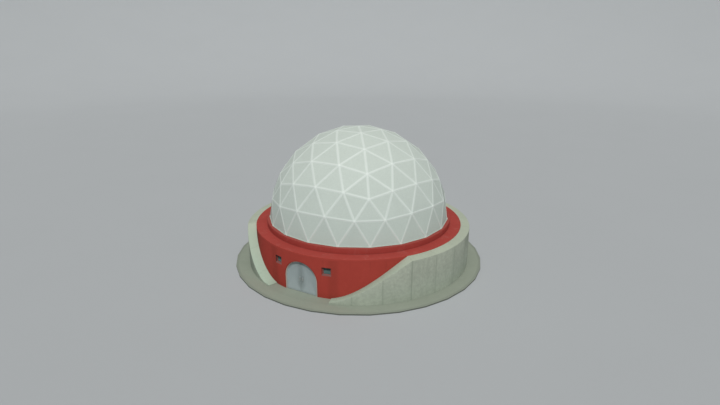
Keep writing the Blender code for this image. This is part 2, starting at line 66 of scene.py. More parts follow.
REPORT = logging.getLogger("radar_dome")

Colour = tuple[float, float, float]
Path = Callable[[float], np.ndarray]
Pair = tuple[float, float]

# Sizes that several pieces and finishes share, in metres and degrees
GAP = 0.0003
FLOOR = 0.12
STANDING = FLOOR + GAP
DRUM_INNER = 8.85
DRUM_OUTER = 9.20
ROOF_TOP = 3.51
ROOF_THICKNESS = 0.20
WALL_TOP = ROOF_TOP - ROOF_THICKNESS - GAP
CURB_OUTER = 8.23
CURB_TOP = 3.97
RING_OUTER = 9.97
BAY_ANGLE = 40.0 / 3.0
ARCH_RADIUS = 1.50
SPRINGING = 1.28
DOOR_REBATE = 9.02
DOOR_SIDE = 20.0
WINDOW_ANGLE = 14.3
WINDOW_MIDDLE = 2.36
WINDOW_WIDTH = 0.76
WINDOW_HEIGHT = 0.68

# Directions, and a length or share that counts as nothing
UP = np.array([0.0, 0.0, 1.0])
INWARDS = np.array([0.0, 1.0, 0.0])
TINY = 1e-6

# Size of the cells in which points are welded, and their shift, which keeps points off an edge
WELD = 3.1e-5
WELD_SHIFT = 0.37


class Side(Enum):
    """The two sides of the door's axis, as someone who faces the door sees them."""

    LEFT = -1.0
    RIGHT = 1.0

    @property
    def word(self) -> str:
        """Return the side's name in lower case."""
        return self.name.lower()


class Blend(Enum):
    """Ways of laying one colour over another."""

    PLAIN = "MIX"
    SHADE = "MULTIPLY"


# Shader expressions


class Value:
    """A shader socket that carries numbers, on which Python's operators add Math nodes."""

    def __init__(self, tree: "Tree", socket: bpy.types.NodeSocket) -> None:
        """Wrap one output socket of a tree."""
        self.tree = tree
        self.socket = socket

    def math(self, operation: str, *others: "Value | float") -> "Value":
        """Apply a Math node to this and up to two more operands."""
        return self.tree.math(operation, self, *others)

    def __add__(self, other: "Value | float") -> "Value":
        """Return this plus the other."""
        return self.math("ADD", other)

    def __sub__(self, other: "Value | float") -> "Value":
        """Return this minus the other."""
        return self.math("SUBTRACT", other)

    def __rsub__(self, other: float) -> "Value":
        """Return a number minus this."""
        return self.tree.math("SUBTRACT", other, self)

    def __mul__(self, other: "Value | float") -> "Value":
        """Return this times the other."""
        return self.math("MULTIPLY", other)

    def __truediv__(self, other: "Value | float") -> "Value":
        """Return this divided by the other."""
        return self.math("DIVIDE", other)

    def __rtruediv__(self, other: float) -> "Value":
        """Return a number divided by this."""
        return self.tree.math("DIVIDE", other, self)

    def __neg__(self) -> "Value":
        """Return this with the other sign."""
        return self.math("MULTIPLY", -1.0)

    def __abs__(self) -> "Value":
        """Return this without its sign."""
        return self.math("ABSOLUTE")

    __radd__ = __add__
    __rmul__ = __mul__

    def step(self, low: float, high: float) -> "Value":
        """Rise smoothly from 0 to 1 between two values.

        With s the share of the way, held between 0 and 1, the result is s^2 (3 - 2 s).

        Args:
            low: the value at which the result starts to rise.
            high: the value at which it is 1.

        Returns:
            The smooth step.
        """
        share = ((self - low) / (high - low)).math("MAXIMUM", 0.0).math("MINIMUM", 1.0)
        return share * share * (3.0 - 2.0 * share)

    def fall(self, low: float, high: float) -> "Value":
        """Fall smoothly from 1 to 0 between two values."""
        return 1.0 - self.step(low, high)

    def off(self, spread: "Value | float") -> "Value":
        """Return the spread times how far a pattern lies from its mean of a half."""
        return (self - 0.5) * spread


class Tree:
    """The node tree of one material or world, with the few helpers that the finishes use."""

    def __init__(self, owner: bpy.types.Material | bpy.types.World) -> None:
        """Empty the owner's node tree.

        Args:
            owner: the material or the world.
        """
        owner.use_nodes = True
        self.nodes = owner.node_tree.nodes
        self.links = owner.node_tree.links
        self.nodes.clear()

    def node(
        self,
        kind: str,
        settings: dict[str, object] | None = None,
        inputs: dict[str | int, object] | None = None,
    ) -> bpy.types.Node:
        """Add a node: its settings first, then the values or links of its sockets.

        Args:
            kind: the node's type without the word ShaderNode.
            settings: the node's properties by name.
            inputs: numbers, colours, sockets or values by the input's name or number.

        Returns:
            The new node.
        """
        new = self.nodes.new("ShaderNode" + kind)
        for name, setting in (settings or {}).items():
            setattr(new, name, setting)
        for name, given in (inputs or {}).items():
            if isinstance(given, Value):
                given = given.socket
            if isinstance(given, bpy.types.NodeSocket):
                self.links.new(given, new.inputs[name])
            elif isinstance(given, tuple) and new.inputs[name].type == "RGBA":
                new.inputs[name].default_value = (*given, 1.0)
            else:
                new.inputs[name].default_value = given
        return new

    def math(self, operation: str, *operands: "Value | float") -> Value:
        """Add a Math node with one to three sockets or numbers."""
        made = self.node("Math", {"operation": operation}, dict(enumerate(operands)))
        return Value(self, made.outputs[0])

    def place(self) -> bpy.types.NodeSocket:
        """Return the place on the object in metres."""
        return self.node("TexCoord").outputs["Object"]

    def xyz(self) -> tuple[Value, Value, Value]:
        """Return the place on the object as three numbers."""
        split = self.node("SeparateXYZ", inputs={0: self.place()})
        return tuple(Value(self, split.outputs[i]) for i in range(3))

    def length(self, first: Value, second: Value) -> Value:
        """Return the root of the sum of two squares."""
        return (first * first + second * second).math("SQRT")

    def azimuth(self, x: Value, y: Value) -> Value:
        """Return the angle from the door's axis in degrees, positive towards +X."""
        return self.math("ARCTAN2", x, -y) * (180.0 / math.pi)

    def from_arch(self, x: Value, height: Value) -> Value:
        """Return the distance from the door's axis, measured round the arch above its springing."""
        return self.length(x, (height - SPRINGING).math("MAXIMUM", 0.0))

    def mapped(self, scale: tuple[float, float, float]) -> bpy.types.NodeSocket:
        """Return the place on the object, scaled along x, y and z."""
        return self.node("Mapping", inputs={"Vector": self.place(), "Scale": scale}).outputs[0]

    def mark(self, name: str) -> Value:
        """Return a named number that the mesh carries on its points."""
        return Value(self, self.node("Attribute", {"attribute_name": name}).outputs["Fac"])

    def noise(
        self,
        scale: float,
        detail: float = 3.0,
        rough: float = 0.5,
        at: bpy.types.NodeSocket | None = None,
        warp: float = 0.0,
    ) -> Value:
        """Add a noise pattern.

        Args:
            scale: features per metre.
            detail: octaves.
            rough: how strong the fine octaves are.
            at: where to read it, or None for the place on the object.
            warp: distortion.

        Returns:
            The pattern from 0 to 1, with a mean of a half.
        """
        values = {"Vector": at or self.place(), "Scale": scale, "Detail": detail}
        values |= {"Roughness": rough, "Distortion": warp}
        return Value(self, self.node("TexNoise", inputs=values).outputs[0])

    def streaks(self, scale: float, stretch: float = 0.08) -> Value:
        """Return a noise that runs down the wall in streaks, the slower the smaller the stretch."""
        return self.noise(scale, 4.0, 0.6, self.mapped((1.0, 1.0, stretch)))

    def mix(
        self,
        share: "Value | float",
        first: "Colour | bpy.types.NodeSocket",
        second: "Colour | bpy.types.NodeSocket",
        blend: Blend = Blend.PLAIN,
    ) -> bpy.types.NodeSocket:
        """Lay a second colour over a first.

        Args:
            share: how much of the second shows.
            first: a colour or a colour socket.
            second: a colour or a colour socket.
            blend: how the two combine.

        Returns:
            The mixed colour.
        """
        settings = {"data_type": "RGBA", "blend_type": blend.value, "clamp_factor": True}
        return self.node("Mix", settings, {0: share, 6: first, 7: second}).outputs[2]

    def tint(self, colour: "Colour | bpy.types.NodeSocket", factor: Value) -> bpy.types.NodeSocket:
        """Multiply a colour by a varying number of about 1."""
        grey = self.node("CombineXYZ", inputs={0: factor, 1: factor, 2: factor}).outputs[0]
        return self.mix(1.0, colour, grey, Blend.SHADE)

    def relief(self, *layers: tuple[Value, float, float]) -> bpy.types.NodeSocket | None:
        """Lay height patterns over one another and turn them into a normal.

        Args:
            layers: for each one the pattern from 0 to 1, its height in metres and its strength.

        Returns:
            The normal.
        """
        normal = None
        for height, depth, strength in layers:
            values = {"Strength": strength, "Distance": depth, "Height": height}
            if normal is not None:
                values["Normal"] = normal
            normal = self.node("Bump", inputs=values).outputs[0]
        return normal

    def surface(self, **inputs: object) -> None:
        """Finish a material with a Principled BSDF.

        Args:
            inputs: values or links, with _ for each space in a socket's name.
        """
        named = {name.replace("_", " "): given for name, given in inputs.items()}
        shader = self.node("BsdfPrincipled", inputs=named)
        self.node("OutputMaterial", inputs={0: shader.outputs[0]})


# Finishes


@dataclass(frozen=True)
class Finish:
    """A finish with its colour in linear light, its roughness and the record's material slot."""

    name: str
    slot: str
    colour: Colour
    roughness: float

    def paint(self, tree: Tree) -> None:
        """Fill the material's node tree."""
        raise NotImplementedError

    def material(self) -> bpy.types.Material:
        """Make the finish's material once, under a name that no CAD material has.

        Returns:
            The material.
        """
        name = "finish_" + self.name
        made = bpy.data.materials.get(name)
        if made is None:
            made = bpy.data.materials.new(name)
            self.paint(Tree(made))
            made.diffuse_color = (*self.colour, 1.0)
        return made


@dataclass(frozen=True)
class PanelCoat(Finish):
    """Weathered gel coat of the radome's panels, each a shade of its own."""

    spread: float = 0.012
    lap_width: float = 0.150
    grime_and_shade: Colour = (0.40, 0.45, 0.40)
    laminate: Colour = (0.700, 0.775, 0.730)
    # Painted light: a greener tint that cancels the curb's red bounce light low on the dome
    bounce_offset_tint: Colour = (0.588, 0.715, 0.660)

    def paint(self, tree: Tree) -> None:
        """Mix each panel's tone with clouds, rain streaks, pale laps and a greener tint low on the
        dome, painted to cancel the red light that the curb bounces onto it.

        Args:
            tree: the material's empty node tree.
        """
        height = tree.xyz()[2]
        clouds = tree.noise(0.45, 4.0, 0.55)
        fine = tree.noise(7.0, 4.0, 0.6)
        shade = 1.0 + tree.mark("tone") * self.spread + clouds.off(0.08) + fine.off(0.16)
        colour = tree.tint(self.colour, shade)
        lap = tree.mark("rim").fall(self.lap_width * 0.3, self.lap_width)
        colour = tree.mix(lap * (0.80 + fine * 0.2), colour, self.laminate)
        colour = tree.mix(tree.streaks(2.6).step(0.55, 0.80) * 0.07, colour, self.grime_and_shade)
        # Painted light: the band above the curb turns greener to cancel the red light bounced from
        # the curb
        foot = height.fall(3.95, 4.75) * 0.45 + height.fall(4.2, 6.6) * 0.40
        colour = tree.mix(foot, colour, self.bounce_offset_tint)
        pebbles, waves = tree.noise(55.0, 2.0, 0.5), tree.noise(1.3, 2.0, 0.4)
        normal = tree.relief((pebbles, 0.0012, 0.3), (waves, 0.010, 0.5))
        rough = self.roughness + fine.off(0.12)
        tree.surface(Base_Color=colour, Roughness=rough, Normal=normal, Specular_IOR_Level=0.05)


@dataclass(frozen=True)
class BarPaint(Finish):
    """Paint of the lattice bars, their node plates and the foot flange."""

    worn: Colour = (0.62, 0.68, 0.63)

    def paint(self, tree: Tree) -> None:
        """Mix brushed paint with grey wear and dirt that gathers low on the dome.

        Args:
            tree: the material's empty node tree.
        """
        height = tree.xyz()[2]
        clouds = tree.noise(1.1, 4.0, 0.6)
        speck = tree.noise(24.0, 4.0, 0.65)
        body = tree.tint(self.colour, 0.97 + clouds.off(0.08))
        dirt = speck.step(0.56, 0.74) * 0.28 + height.fall(3.9, 6.0) * 0.10
        colour = tree.mix(dirt, body, self.worn)
        normal = tree.relief((speck, 0.0015, 0.4))
        rough = self.roughness + dirt * 0.5
        tree.surface(Base_Color=colour, Roughness=rough, Normal=normal, Specular_IOR_Level=0.2)


@dataclass(frozen=True)
class RenderPaint(Finish):
    """Red masonry paint on floated render, with runs under the roof, splashes at the foot and
    painted shade by the arch, the left wing and in the window reveals.
    """

    splash_and_shade: Colour = (0.300, 0.050, 0.036)
    chalk: Colour = (0.480, 0.088, 0.066)
    # Dark red of the painted shade in the window reveals
    grime_and_shade: Colour = (0.130, 0.062, 0.055)

    def paint(self, tree: Tree) -> None:
        """Mix roller patches, chalky wear, runs, a damp foot, darker bands beside the windows and
        painted shade along the arch, by the left wing, low on the left and in the window reveals.

        Args:
            tree: the material's empty node tree.
        """
        x, y, height = tree.xyz()
        turn = tree.azimuth(x, y)
        broad = tree.noise(0.55, 4.0, 0.6)
        patch = tree.noise(2.4, 5.0, 0.62, warp=0.4)
        sand = tree.noise(60.0, 3.0, 0.7)
        runs = tree.streaks(3.2, 0.06)
        body = tree.tint(self.colour, 1.0 + broad.off(0.20) + patch.off(0.12))
        body = tree.mix(patch.step(0.55, 0.80) * 0.22, body, self.chalk)
        under_roof = height.step(1.6, 3.4) * runs.step(0.52, 0.74) * 0.33
        foot = height.fall(FLOOR, 0.75) * (0.15 + broad * 0.36)
        # Painted shade: the wall darkens within a few centimetres of the arch's edge, where the
        # reveal lies in shadow
        beside_arch = tree.from_arch(x, height) - ARCH_RADIUS
        arris = beside_arch.fall(0.02, 0.13) * y.fall(-9.0, -8.9) * 0.55
        beside_windows = abs(abs(turn) - 17.5).fall(0.8, 4.0) * (0.24 + patch * 0.36)
        # Painted shade: the wall darkens beside the left wing, where the wing occludes it
        shade_by_wing = turn.fall(-41.0, -30.0) * 0.9
        # Painted shade: the left part of the wall darkens low down, where less light falls than on
        # the right
        shade_low_left = turn.fall(-30.0, -4.0) * height.fall(0.3, 2.4) * 0.42
        # Stains and painted shade are laid on together in the same dark red
        stains_and_shade = under_roof + foot + arris + beside_windows + shade_by_wing + shade_low_left
        colour = tree.mix(stains_and_shade, body, self.splash_and_shade)
        # Painted shade: the window reveals are darkened, the left one more than the right
        recess = self.window_reveal_shade(turn, tree.length(x, y), height)
        colour = tree.mix(recess, colour, self.grime_and_shade)
        colour = tree.tint(colour, 1.0 + sand.off(0.10))
        float_marks = tree.noise(5.0, 3.0, 0.5, tree.mapped((1.0, 1.0, 2.2)), 0.6)
        normal = tree.relief((float_marks, 0.006, 0.5), (sand, 0.0035, 0.5))
        rough = self.roughness + patch.off(0.12)
        tree.surface(Base_Color=colour, Roughness=rough, Normal=normal, Specular_IOR_Level=0.06)

    def window_reveal_shade(self, turn: Value, distance: Value, height: Value) -> Value:
        """Mask the painted shade in the reveals of the windows, the left one darker than the right.

        Args:
            turn: the angle from the door's axis.
            distance: the distance from the dome's axis.
            height: the height above the ground.

        Returns:
            The share of painted shade.
        """
        half = WINDOW_HEIGHT / 2.0
        upright = abs(height - WINDOW_MIDDLE).fall(half + 0.002, half + 0.012)
        level = abs(abs(turn) - WINDOW_ANGLE).fall(2.5, 2.7)
        behind = distance.fall(DRUM_OUTER - 0.024, DRUM_OUTER - 0.006)
        return upright * level * behind * (0.90 - turn.step(-5.0, 5.0) * 0.25)


@dataclass(frozen=True)
class RoofPaint(Finish):
    """Red paint on the flat roof and the curb, dusty where water stands."""

    dust: Colour = (0.41, 0.108, 0.092)
    damp: Colour = (0.27, 0.060, 0.050)
    wall: Colour = (0.440, 0.064, 0.048)

    def paint(self, tree: Tree) -> None:
        """Mix dust, dried puddles, a dark line by the curb, a faded curb and the wall's red edge.

        Args:
            tree: the material's empty node tree.
        """
        x, y, height = tree.xyz()
        distance = tree.length(x, y)
        broad = tree.noise(0.7, 4.0, 0.6)
        puddle = tree.noise(1.6, 5.0, 0.6, warp=0.8)
        sand = tree.noise(45.0, 3.0, 0.7)
        body = tree.tint(self.colour, 1.0 + broad.off(0.18) + sand.off(0.10))
        body = tree.mix(puddle.step(0.52, 0.70) * 0.40, body, self.dust)
        on_curb = height.step(ROOF_TOP + 0.01, ROOF_TOP + 0.07)
        corner = (distance - CURB_OUTER).fall(0.0, 0.16) * (1.0 - on_curb) * (0.15 + puddle * 0.3)
        crest = height.step(CURB_TOP - 0.04, CURB_TOP - 0.015) * 0.75
        colour = tree.mix(corner + crest, body, self.damp)
        colour = tree.tint(colour, 1.0 + on_curb * 0.12)
        colour = tree.mix(distance.step(DRUM_OUTER - 0.024, DRUM_OUTER - 0.004), colour, self.wall)
        normal = tree.relief((puddle, 0.006, 0.35), (sand, 0.003, 0.5))
        rough = self.roughness - puddle.step(0.55, 0.7) * 0.08
        tree.surface(Base_Color=colour, Roughness=rough, Normal=normal, Specular_IOR_Level=0.10)


@dataclass(frozen=True)
class CastConcrete(Finish):
    """Cast concrete of the ring wall: each bay a shade of its own, stained from the top."""

    crest: Colour = (0.425, 0.475, 0.382)
    stain: Colour = (0.285, 0.325, 0.262)
    # Dark green of the gutter streak and of the painted shade on faces turned from the sun
    algae_and_shade: Colour = (0.190, 0.225, 0.172)
    moss: Colour = (0.330, 0.500, 0.400)

    def paint(self, tree: Tree) -> None:
        """Mix bay tones, blotches, runs below the top edge, dirty joints, algae, painted shade on
        the faces turned from the sun, and moss.

        Args:
            tree: the material's empty node tree.
        """
        x, y, height = tree.xyz()
        turn = tree.azimuth(x, y)
        bays = turn / BAY_ANGLE + 60.0
        bay_noise = tree.node(
            "TexWhiteNoise", {"noise_dimensions": "1D"}, {"W": bays.math("FLOOR")}
        )
        tone = Value(tree, bay_noise.outputs[0])
        bay_length = math.radians(BAY_ANGLE) * RING_OUTER
        from_joint = abs(bays - (bays + 0.5).math("FLOOR")) * bay_length
        crest = tree.mark("crest")
        side = 1.0 - crest
        broad = tree.noise(0.6, 4.0, 0.6)
        mottle = tree.noise(4.5, 5.0, 0.65)
        sand = tree.noise(60.0, 3.0, 0.7)
        runs = tree.streaks(2.2, 0.05)
        thin_runs = tree.streaks(9.0, 0.03)
        bleached = crest * abs(turn + 36.0).fall(15.0, 21.0) * 0.09
        blotches = broad.off(0.12 + side * 0.14) + mottle.off(0.14 + side * 0.46)
        body = tree.mix(crest, self.colour, self.crest)
        body = tree.tint(body, 1.0 + bleached + tone.off(0.06) + blotches + sand.off(0.06))
        joint = from_joint.fall(0.015, 0.085) * 0.36 + from_joint.fall(0.05, 0.55) * runs * 0.20
        run = runs.step(0.50, 0.75) * 0.28
        run = run + thin_runs.step(0.56, 0.78) * height.step(0.8, 3.3) * 0.22
        foot = height.fall(FLOOR, 0.24) * 0.20
        colour = tree.mix((joint + run + foot) * (0.25 + side * 0.75), body, self.stain)
        # Painted shade: sides turned from the sun, on the left, far right and back, darken in the
        # dark green
        shaded = turn.fall(-37.0, -21.0) * (0.5 + turn.step(-145.0, -95.0) * 0.5)
        shaded = shaded + turn.step(108.0, 150.0) * 0.5
        colour = tree.mix(shaded * side * (0.48 + mottle * 0.2), colour, self.algae_and_shade)
        green = height.fall(0.5, 2.6) * (0.10 + crest * 0.10)
        green = green + crest * height.fall(2.6, 3.42) * 0.28
        colour = tree.mix(green, colour, self.moss)
        gutter = height.step(1.9, 3.0) * abs(turn - 98.0).fall(2.0, 9.0) * side * 0.40
        colour = tree.mix(gutter, colour, self.algae_and_shade)
        pores = tree.node("TexVoronoi", inputs={"Vector": tree.place(), "Scale": 14.0})
        pits = Value(tree, pores.outputs[0]).step(0.0, 0.14)
        normal = tree.relief((pits, 0.004, 0.5), (mottle, 0.006, 0.35), (sand, 0.0025, 0.5))
        rough = self.roughness + mottle.off(0.10)
        tree.surface(Base_Color=colour, Roughness=rough, Normal=normal, Specular_IOR_Level=0.25)


@dataclass(frozen=True)
class FloatedConcrete(Finish):
    """Floated concrete of the plinth, damp by the wall, its side darkened by earth and painted
    shade.
    """

    damp: Colour = (0.235, 0.266, 0.220)
    dust: Colour = (0.320, 0.358, 0.296)
    earth_and_shade: Colour = (0.085, 0.092, 0.080)

    def paint(self, tree: Tree) -> None:
        """Mix cloudy cement, swept dust, a damp ring by the wall and a side darkened by earth and
        painted shade.

        Args:
            tree: the material's empty node tree.
        """
        x, y, height = tree.xyz()
        distance = tree.length(x, y)
        broad = tree.noise(0.5, 5.0, 0.6, warp=0.3)
        mottle = tree.noise(3.2, 5.0, 0.65, warp=0.5)
        sand = tree.noise(55.0, 3.0, 0.7)
        body = tree.tint(self.colour, 1.0 + broad.off(0.16) + sand.off(0.08))
        body = tree.mix(mottle.step(0.52, 0.76) * 0.45, body, self.dust)
        by_wall = abs(distance - RING_OUTER).fall(0.0, 0.30) * (0.35 + broad * 0.7)
        puddle = mottle.fall(0.24, 0.44)
        rim = distance.step(10.86, 11.06) * 0.9
        colour = tree.mix(by_wall * 0.3 + puddle * 0.25 + rim, body, self.damp)
        # Earth and painted shade: the slab's side darkens, standing in part for the shadow along
        # its edge
        colour = tree.mix(height.fall(0.085, 0.116) * 0.75, colour, self.earth_and_shade)
        normal = tree.relief((mottle, 0.005, 0.35), (sand, 0.0025, 0.5))
        rough = self.roughness - puddle * 0.06
        tree.surface(Base_Color=colour, Roughness=rough, Normal=normal, Specular_IOR_Level=0.25)


@dataclass(frozen=True)
class LeafPaint(Finish):
    """Blue-grey sheet-metal paint of the door leaves, darkened by hands along the meeting line."""

    smear_and_shade: Colour = (0.215, 0.262, 0.262)

    def paint(self, tree: Tree) -> None:
        """Mix orange peel, rain runs, a soft dirty band by the meeting edge and the handles, a
        darker foot and a painted shadow under the arch's head.

        Args:
            tree: the material's empty node tree.
        """
        x, _, height = tree.xyz()
        away = abs(x)
        broad = tree.noise(1.2, 4.0, 0.6)
        fine = tree.noise(9.0, 5.0, 0.6)
        body = tree.tint(self.colour, 1.0 + broad.off(0.12) + fine.off(0.05))
        touched = away.fall(0.0, 0.50) * height.step(0.20, 0.95) * (0.48 + fine * 0.24)
        by_handle = away.fall(0.0, 0.36) * abs(height - 1.15).fall(0.1, 0.60) * 0.08
        # Painted shadow: the arch's head casts a band of shade over the top of the leaves
        head = tree.from_arch(x, height).step(1.20, 1.30) * height.step(1.7, 2.1) * 0.45
        foot = height.fall(0.13, 0.40) * 0.25 * (0.5 + fine)
        run = tree.streaks(5.0, 0.06).step(0.55, 0.78) * 0.16
        colour = tree.mix(touched + by_handle + head + foot + run, body, self.smear_and_shade)
        peel, dents = tree.noise(120.0, 2.0, 0.5), tree.noise(2.2, 2.0, 0.5)
        normal = tree.relief((peel, 0.0006, 0.4), (dents, 0.008, 0.5))
        rough = self.roughness + fine.off(0.14) + touched * 0.2
        tree.surface(Base_Color=colour, Roughness=rough, Normal=normal)


@dataclass(frozen=True)
class TrimPaint(Finish):
    """Satin paint of the door frame, the window frames and the sills, chipped in places."""

    bare: Colour = (0.20, 0.19, 0.18)
    chips: float = 0.35

    def paint(self, tree: Tree) -> None:
        """Mix brushed paint with chips that show what lies under it.

        Args:
            tree: the material's empty node tree.
        """
        broad = tree.noise(1.6, 4.0, 0.6)
        speck = tree.noise(26.0, 5.0, 0.7)
        body = tree.tint(self.colour, 1.0 + broad.off(0.16) + speck.off(0.10))
        chipped = speck.step(0.60, 0.72) * self.chips
        colour = tree.mix(chipped, body, self.bare)
        normal = tree.relief((speck, 0.0012, 0.5))
        tree.surface(Base_Color=colour, Roughness=self.roughness + chipped * 0.4, Normal=normal)


@dataclass(frozen=True)
class Steel(Finish):
    """Bare steel of handles, hinges and bolts, brushed and a little tarnished."""

    tarnish: Colour = (0.16, 0.14, 0.12)
    metal: float = 1.0

    def paint(self, tree: Tree) -> None:
        """Mix fine brushing with tarnish in patches.

        Args:
            tree: the material's empty node tree.
        """
        brush = tree.noise(180.0, 2.0, 0.5, tree.mapped((1.0, 1.0, 0.04)))
        dull = tree.noise(30.0, 4.0, 0.65).step(0.52, 0.74)
        body = tree.tint(self.colour, 1.0 + brush.off(0.20))
        colour = tree.mix(dull * 0.45, body, self.tarnish)
        rough = self.roughness + brush.off(0.15) + dull * 0.25
        metal = self.metal - dull * (0.35 * self.metal)
        normal = tree.relief((brush, 0.0004, 0.5))
        tree.surface(Base_Color=colour, Roughness=rough, Metallic=metal, Normal=normal)


@dataclass(frozen=True)
class TintedGlass(Finish):
    """Teal window glass with a film of dust and a painted shadow towards the head of the window."""

    film: Colour = (0.20, 0.27, 0.26)
    head_shadow: Colour = (0.030, 0.042, 0.040)
    clear: float = 0.95

    def paint(self, tree: Tree) -> None:
        """Mix the glass colour with dust, streaks and a painted shadow under the head, and let a
        little of the room show.

        Args:
            tree: the material's empty node tree.
        """
        height = tree.xyz()[2]
        dusty = tree.noise(6.0, 5.0, 0.65)
        film = dusty.step(0.42, 0.72) * 0.40 + tree.streaks(16.0, 0.08).step(0.55, 0.75) * 0.20
        colour = tree.mix(film, self.colour, self.film)
        # Painted shadow: the top of the pane darkens under the window's head
        colour = tree.mix(height.step(2.32, 2.50) * 0.7, colour, self.head_shadow)
        rough = self.roughness + film * 0.35
        alpha = self.clear + film * 0.05
        tree.surface(Base_Color=colour, Roughness=rough, Alpha=alpha, Specular_IOR_Level=0.12)


@dataclass(frozen=True)
class Sealant(Finish):
    """Dark rubber of the window gaskets."""

    def paint(self, tree: Tree) -> None:
        """Mix dusty and clean rubber.

        Args:
            tree: the material's empty node tree.
        """
        dusty = tree.noise(14.0, 4.0, 0.6)
        colour = tree.tint(self.colour, 0.85 + dusty * 0.4)
        normal = tree.relief((dusty, 0.001, 0.4))
        tree.surface(Base_Color=colour, Roughness=self.roughness + dusty.off(0.1), Normal=normal)


@dataclass(frozen=True)
class FloorPaint(Finish):
    """Plain pale floor of the studio, with the faintest unevenness."""

    def paint(self, tree: Tree) -> None:
        """Mix two pale greys that hardly differ.

        Args:
            tree: the material's empty node tree.
        """
        broad = tree.noise(0.08, 3.0, 0.5)
        colour = tree.tint(self.colour, 1.0 + broad.off(0.03))
        tree.surface(Base_Color=colour, Roughness=self.roughness, Specular_IOR_Level=0.15)


PANEL_COAT = PanelCoat("panel_coat", "shell_paint", (0.590, 0.662, 0.614), 0.60)
BAR_PAINT = BarPaint("bar_paint", "frame_paint", (0.735, 0.805, 0.765), 0.55)
PLATE_PAINT = BarPaint("plate_paint", "frame_paint", (0.810, 0.885, 0.843), 0.55)
FLANGE_PAINT = BarPaint("flange_paint", "frame_paint", (0.44, 0.49, 0.45), 0.62)
RED_RENDER = RenderPaint("red_render", "red_render", (0.440, 0.064, 0.048), 0.88)
RED_ROOF = RoofPaint("red_roof", "roof_paint", (0.365, 0.058, 0.047), 0.82)
CAST_CONCRETE = CastConcrete("cast_concrete", "concrete", (0.444, 0.485, 0.400), 0.88)
PLINTH_CONCRETE = FloatedConcrete("plinth_concrete", "plinth_concrete", (0.283, 0.320, 0.262), 0.90)
LEAF_PAINT = LeafPaint("leaf_paint", "door_leaf_paint", (0.385, 0.451, 0.462), 0.46)
DOOR_TRIM = TrimPaint(
    "door_trim", "door_frame_paint", (0.500, 0.440, 0.390), 0.60, (0.36, 0.31, 0.27)
)
WINDOW_TRIM = TrimPaint(
    "window_trim", "window_frame_paint", (0.300, 0.076, 0.064), 0.65, (0.22, 0.09, 0.08)
)
SILL_PAINT = TrimPaint(
    "sill_paint", "window_frame_paint", (0.215, 0.084, 0.076), 0.80, (0.20, 0.11, 0.10), 0.5
)
HANDLE_STEEL = Steel("handle_steel", "handle_steel", (0.62, 0.64, 0.65), 0.32)
HINGE_STEEL = Steel("hinge_steel", "hinge_steel", (0.24, 0.25, 0.26), 0.48)
BOLT_STEEL = Steel("bolt_steel", "frame_paint", (0.58, 0.61, 0.59), 0.45, (0.30, 0.29, 0.27), 0.6)
GLASS = TintedGlass("window_glass", "window_glass", (0.100, 0.175, 0.170), 0.22)
RUBBER = Sealant("rubber", "window_frame_paint", (0.035, 0.036, 0.036), 0.7)
STUDIO_FLOOR = FloorPaint("studio_floor", "", (0.442, 0.468, 0.485), 0.85)


# Surfaces


def grid_quads(rows: int, columns: int) -> np.ndarray:
    """Number the faces of a grid of points.

    Args:
        rows: rows of points.
        columns: columns of points.

    Returns:
        The four corner numbers of each face.
    """
    number = np.arange(rows * columns).reshape(rows, columns)
    corners = [number[:-1, :-1], number[:-1, 1:], number[1:, 1:], number[1:, :-1]]
    return np.stack(corners, axis=-1).reshape(-1, 4)


def unit(vectors: np.ndarray) -> np.ndarray:
    """Scale each vector to a length of 1."""
    return vectors / np.linalg.norm(vectors, axis=-1, keepdims=True)


def on_ring(
    radius: np.ndarray | float, angle: np.ndarray | float, height: np.ndarray | float
) -> np.ndarray:
    """Place points on circles: x is r sin(a), y is -r cos(a), with a from the door's axis.

    Args:
        radius: distance from the dome's axis.
        angle: degrees from the door's axis.
        height: height above the ground.

    Returns:
        The points, with the three inputs broadcast against each other.
    """
    turn = np.radians(angle)
    places = np.broadcast_arrays(radius * np.sin(turn), -radius * np.cos(turn), height)
    return np.stack(places, axis=-1)


def box(inner: float, outer: float, low: float, high: float) -> np.ndarray:
    """Return the (radius, height) corners of a rectangular profile, from the inner foot round."""
    return np.array([[inner, low], [outer, low], [outer, high], [inner, high]])


def rounded(corners: np.ndarray, radius: tuple[float, ...] | float, steps: int = 4) -> np.ndarray:
    """Round the corners of a closed outline.

    Each corner C becomes (1-s)^2 P + 2s(1-s) C + s^2 Q, where P and Q lie the radius away from C
    on its two sides and s runs from 0 to 1.

    Args:
        corners: the outline's corners in order.
        radius: one radius, or one for each corner.
        steps: segments of each corner.

    Returns:
        The rounded outline, closed by its first point.
    """
    reach = np.broadcast_to(np.asarray(radius, float), len(corners))[:, None]
    before = corners + unit(np.roll(corners, 1, axis=0) - corners) * reach
    after = corners + unit(np.roll(corners, -1, axis=0) - corners) * reach
    s = np.linspace(0.0, 1.0, steps + 1)[None, :, None]
    bent = (
        (1 - s) ** 2 * before[:, None]
        + 2 * s * (1 - s) * corners[:, None]
        + s**2 * after[:, None]
    )
    outline = bent.reshape(-1, corners.shape[1])
    return np.vstack([outline, outline[:1]])


def loft(first: np.ndarray, second: np.ndarray, rows: int = 1) -> np.ndarray:
    """Join two curves by straight lines: the row at share t is (1-t) first + t second.

    Args:
        first: points of the first curve.
        second: as many points of the second curve.
        rows: how many rows of faces lie between them.

    Returns:
        The grid of points.
    """
    share = np.linspace(0.0, 1.0, rows + 1)[:, None, None]
    return (1.0 - share) * first[None] + share * second[None]


